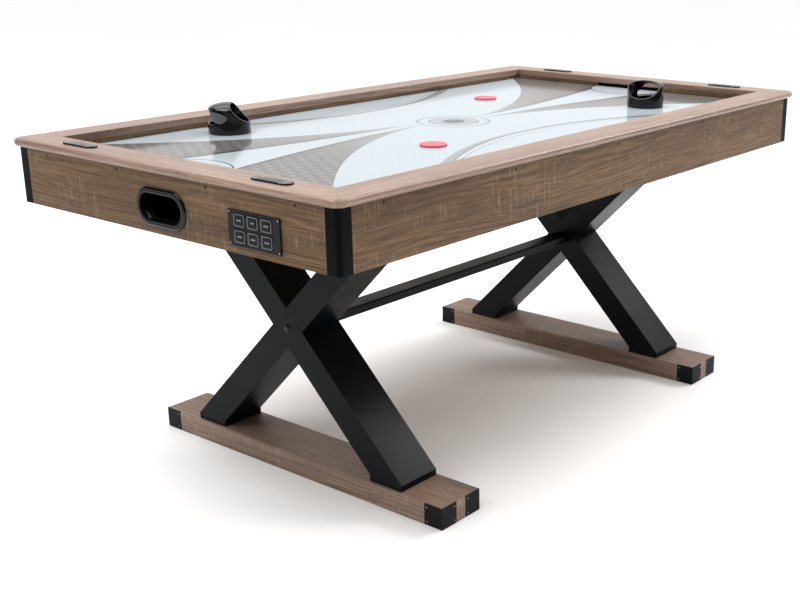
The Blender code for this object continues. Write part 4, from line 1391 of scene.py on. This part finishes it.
@dataclass(frozen=True)
class Lamp:
    """A soft rectangular light."""

    name: str
    place: tuple[float, float, float]
    aim: tuple[float, float, float]
    size: tuple[float, float]
    watts: float

    def hang(self) -> None:
        """Add the light to the scene."""
        data = bpy.data.lights.new(self.name, "AREA")
        data.shape = "RECTANGLE"
        data.size, data.size_y = self.size
        data.energy = self.watts
        lamp = linked(self.name, data)
        lamp.location = self.place
        lamp.rotation_euler = (Vector(self.aim) - Vector(self.place)).to_track_quat("-Z", "Y").to_euler()


@dataclass
class Studio:
    """Floor, lights, world and camera."""

    azimuth: float = -52.99
    elevation: float = 17.801
    roll: float = 0.320
    place: tuple[float, float, float] = (-2.331, -1.969, 1.234)
    lens: float = 54.018
    shift: tuple[float, float] = (-0.15, 0.0106)
    floor: float = 30.0
    world: float = 0.46
    seen: float = 0.92
    mirrored: tuple[float, float] = (0.10, 0.95)
    bright: tuple[float, float, float] = (0.80, 0.60, 0.0)
    sun: float = 2.2
    lamps: tuple[Lamp, ...] = (
        Lamp("ceiling", (0.6, 0.5, 4.2), (0.0, 0.0, 0.0), (6.0, 5.0), 200),
        Lamp("far", (3.2, -1.9, 2.9), (0.2, 0.0, 0.2), (1.5, 1.3), 85),
    )

    def build(self) -> None:
        """Set the whole studio up."""
        self.ground()
        self.sky()
        for lamp in self.lamps:
            lamp.hang()
        self.sunlight()
        self.camera()
        bpy.context.scene.view_settings.view_transform = "Standard"

    def ground(self) -> None:
        """A wide floor at height zero."""
        half = self.floor
        corners = np.array([(-half, -half), (half, -half), (half, half), (-half, half)])
        mesh = bpy.data.meshes.new("floor")
        mesh.from_pydata(on_axis(corners, Axis.Z, 0.0).tolist(), [], [[0, 1, 2, 3]])
        mesh.materials.append(PaleFloor("pale floor").material())
        linked("floor", mesh)

    def sky(self) -> None:
        """An even pale sky, near white to the camera; gloss sees one side bright and the other dim."""
        world = bpy.data.worlds.new("studio")
        bpy.context.scene.world = world
        world.use_nodes = True
        world.node_tree.nodes.clear()
        g = Graph(world.node_tree)
        path = g.add("ShaderNodeLightPath")
        straight, glossy = (Wire(g, path.outputs[f"Is {kind} Ray"]) for kind in ("Camera", "Glossy"))
        direction = g.wire("ShaderNodeTexCoord", out="Generated")
        toward = g.vector("DOT_PRODUCT", {0: direction, 1: self.bright}, 1)
        mirrored = g.step(toward, 0.35, 0.85, *self.mirrored)
        strength = glossy * (mirrored - self.world) + (straight * (self.seen - self.world) + self.world)
        back = g.wire("ShaderNodeBackground", {"Color": (1.0, 1.0, 1.0, 1.0), "Strength": strength})
        g.add("ShaderNodeOutputWorld", {0: back})

    def sunlight(self) -> None:
        """A very wide sun, so that shadows stay soft."""
        data = bpy.data.lights.new("sun", "SUN")
        data.energy = self.sun
        data.angle = math.radians(50)
        linked("sun", data).rotation_euler = Euler((math.radians(-7), math.radians(-25), 0))

    def camera(self) -> None:
        """Aim by azimuth, elevation and roll."""
        a, e, r = (math.radians(v) for v in (self.azimuth, self.elevation, self.roll))
        back = Vector((math.sin(a) * math.cos(e), -math.cos(a) * math.cos(e), math.sin(e)))
        right = Vector((0, 0, 1)).cross(back).normalized()
        up = back.cross(right)
        across = right * math.cos(r) + up * math.sin(r)
        above = up * math.cos(r) - right * math.sin(r)
        data = bpy.data.cameras.new("camera")
        data.lens = self.lens
        data.sensor_width = 36.0
        data.shift_x, data.shift_y = self.shift
        data.clip_end = 200.0
        camera = linked("camera", data)
        turn = Matrix((across, above, back)).transposed().to_4x4()
        camera.matrix_world = Matrix.Translation(self.place) @ turn
        bpy.context.scene.camera = camera


def main() -> None:
    """Build every sub-assembly in order, then the studio."""
    logging.basicConfig(level=logging.INFO, format="%(name)s: %(message)s")
    for part in (TopRails(), Cabinet(), PlayingField(), PuckReturns(), ControlPanel(), ScoreDisplays(),
                 LegFrames(), FloorBeams(), Pushers(), Pucks(), AirWorks(), Studio()):
        LOG.info("building %s", type(part).__name__)
        part.build()


if __name__ == "__main__":
    main()
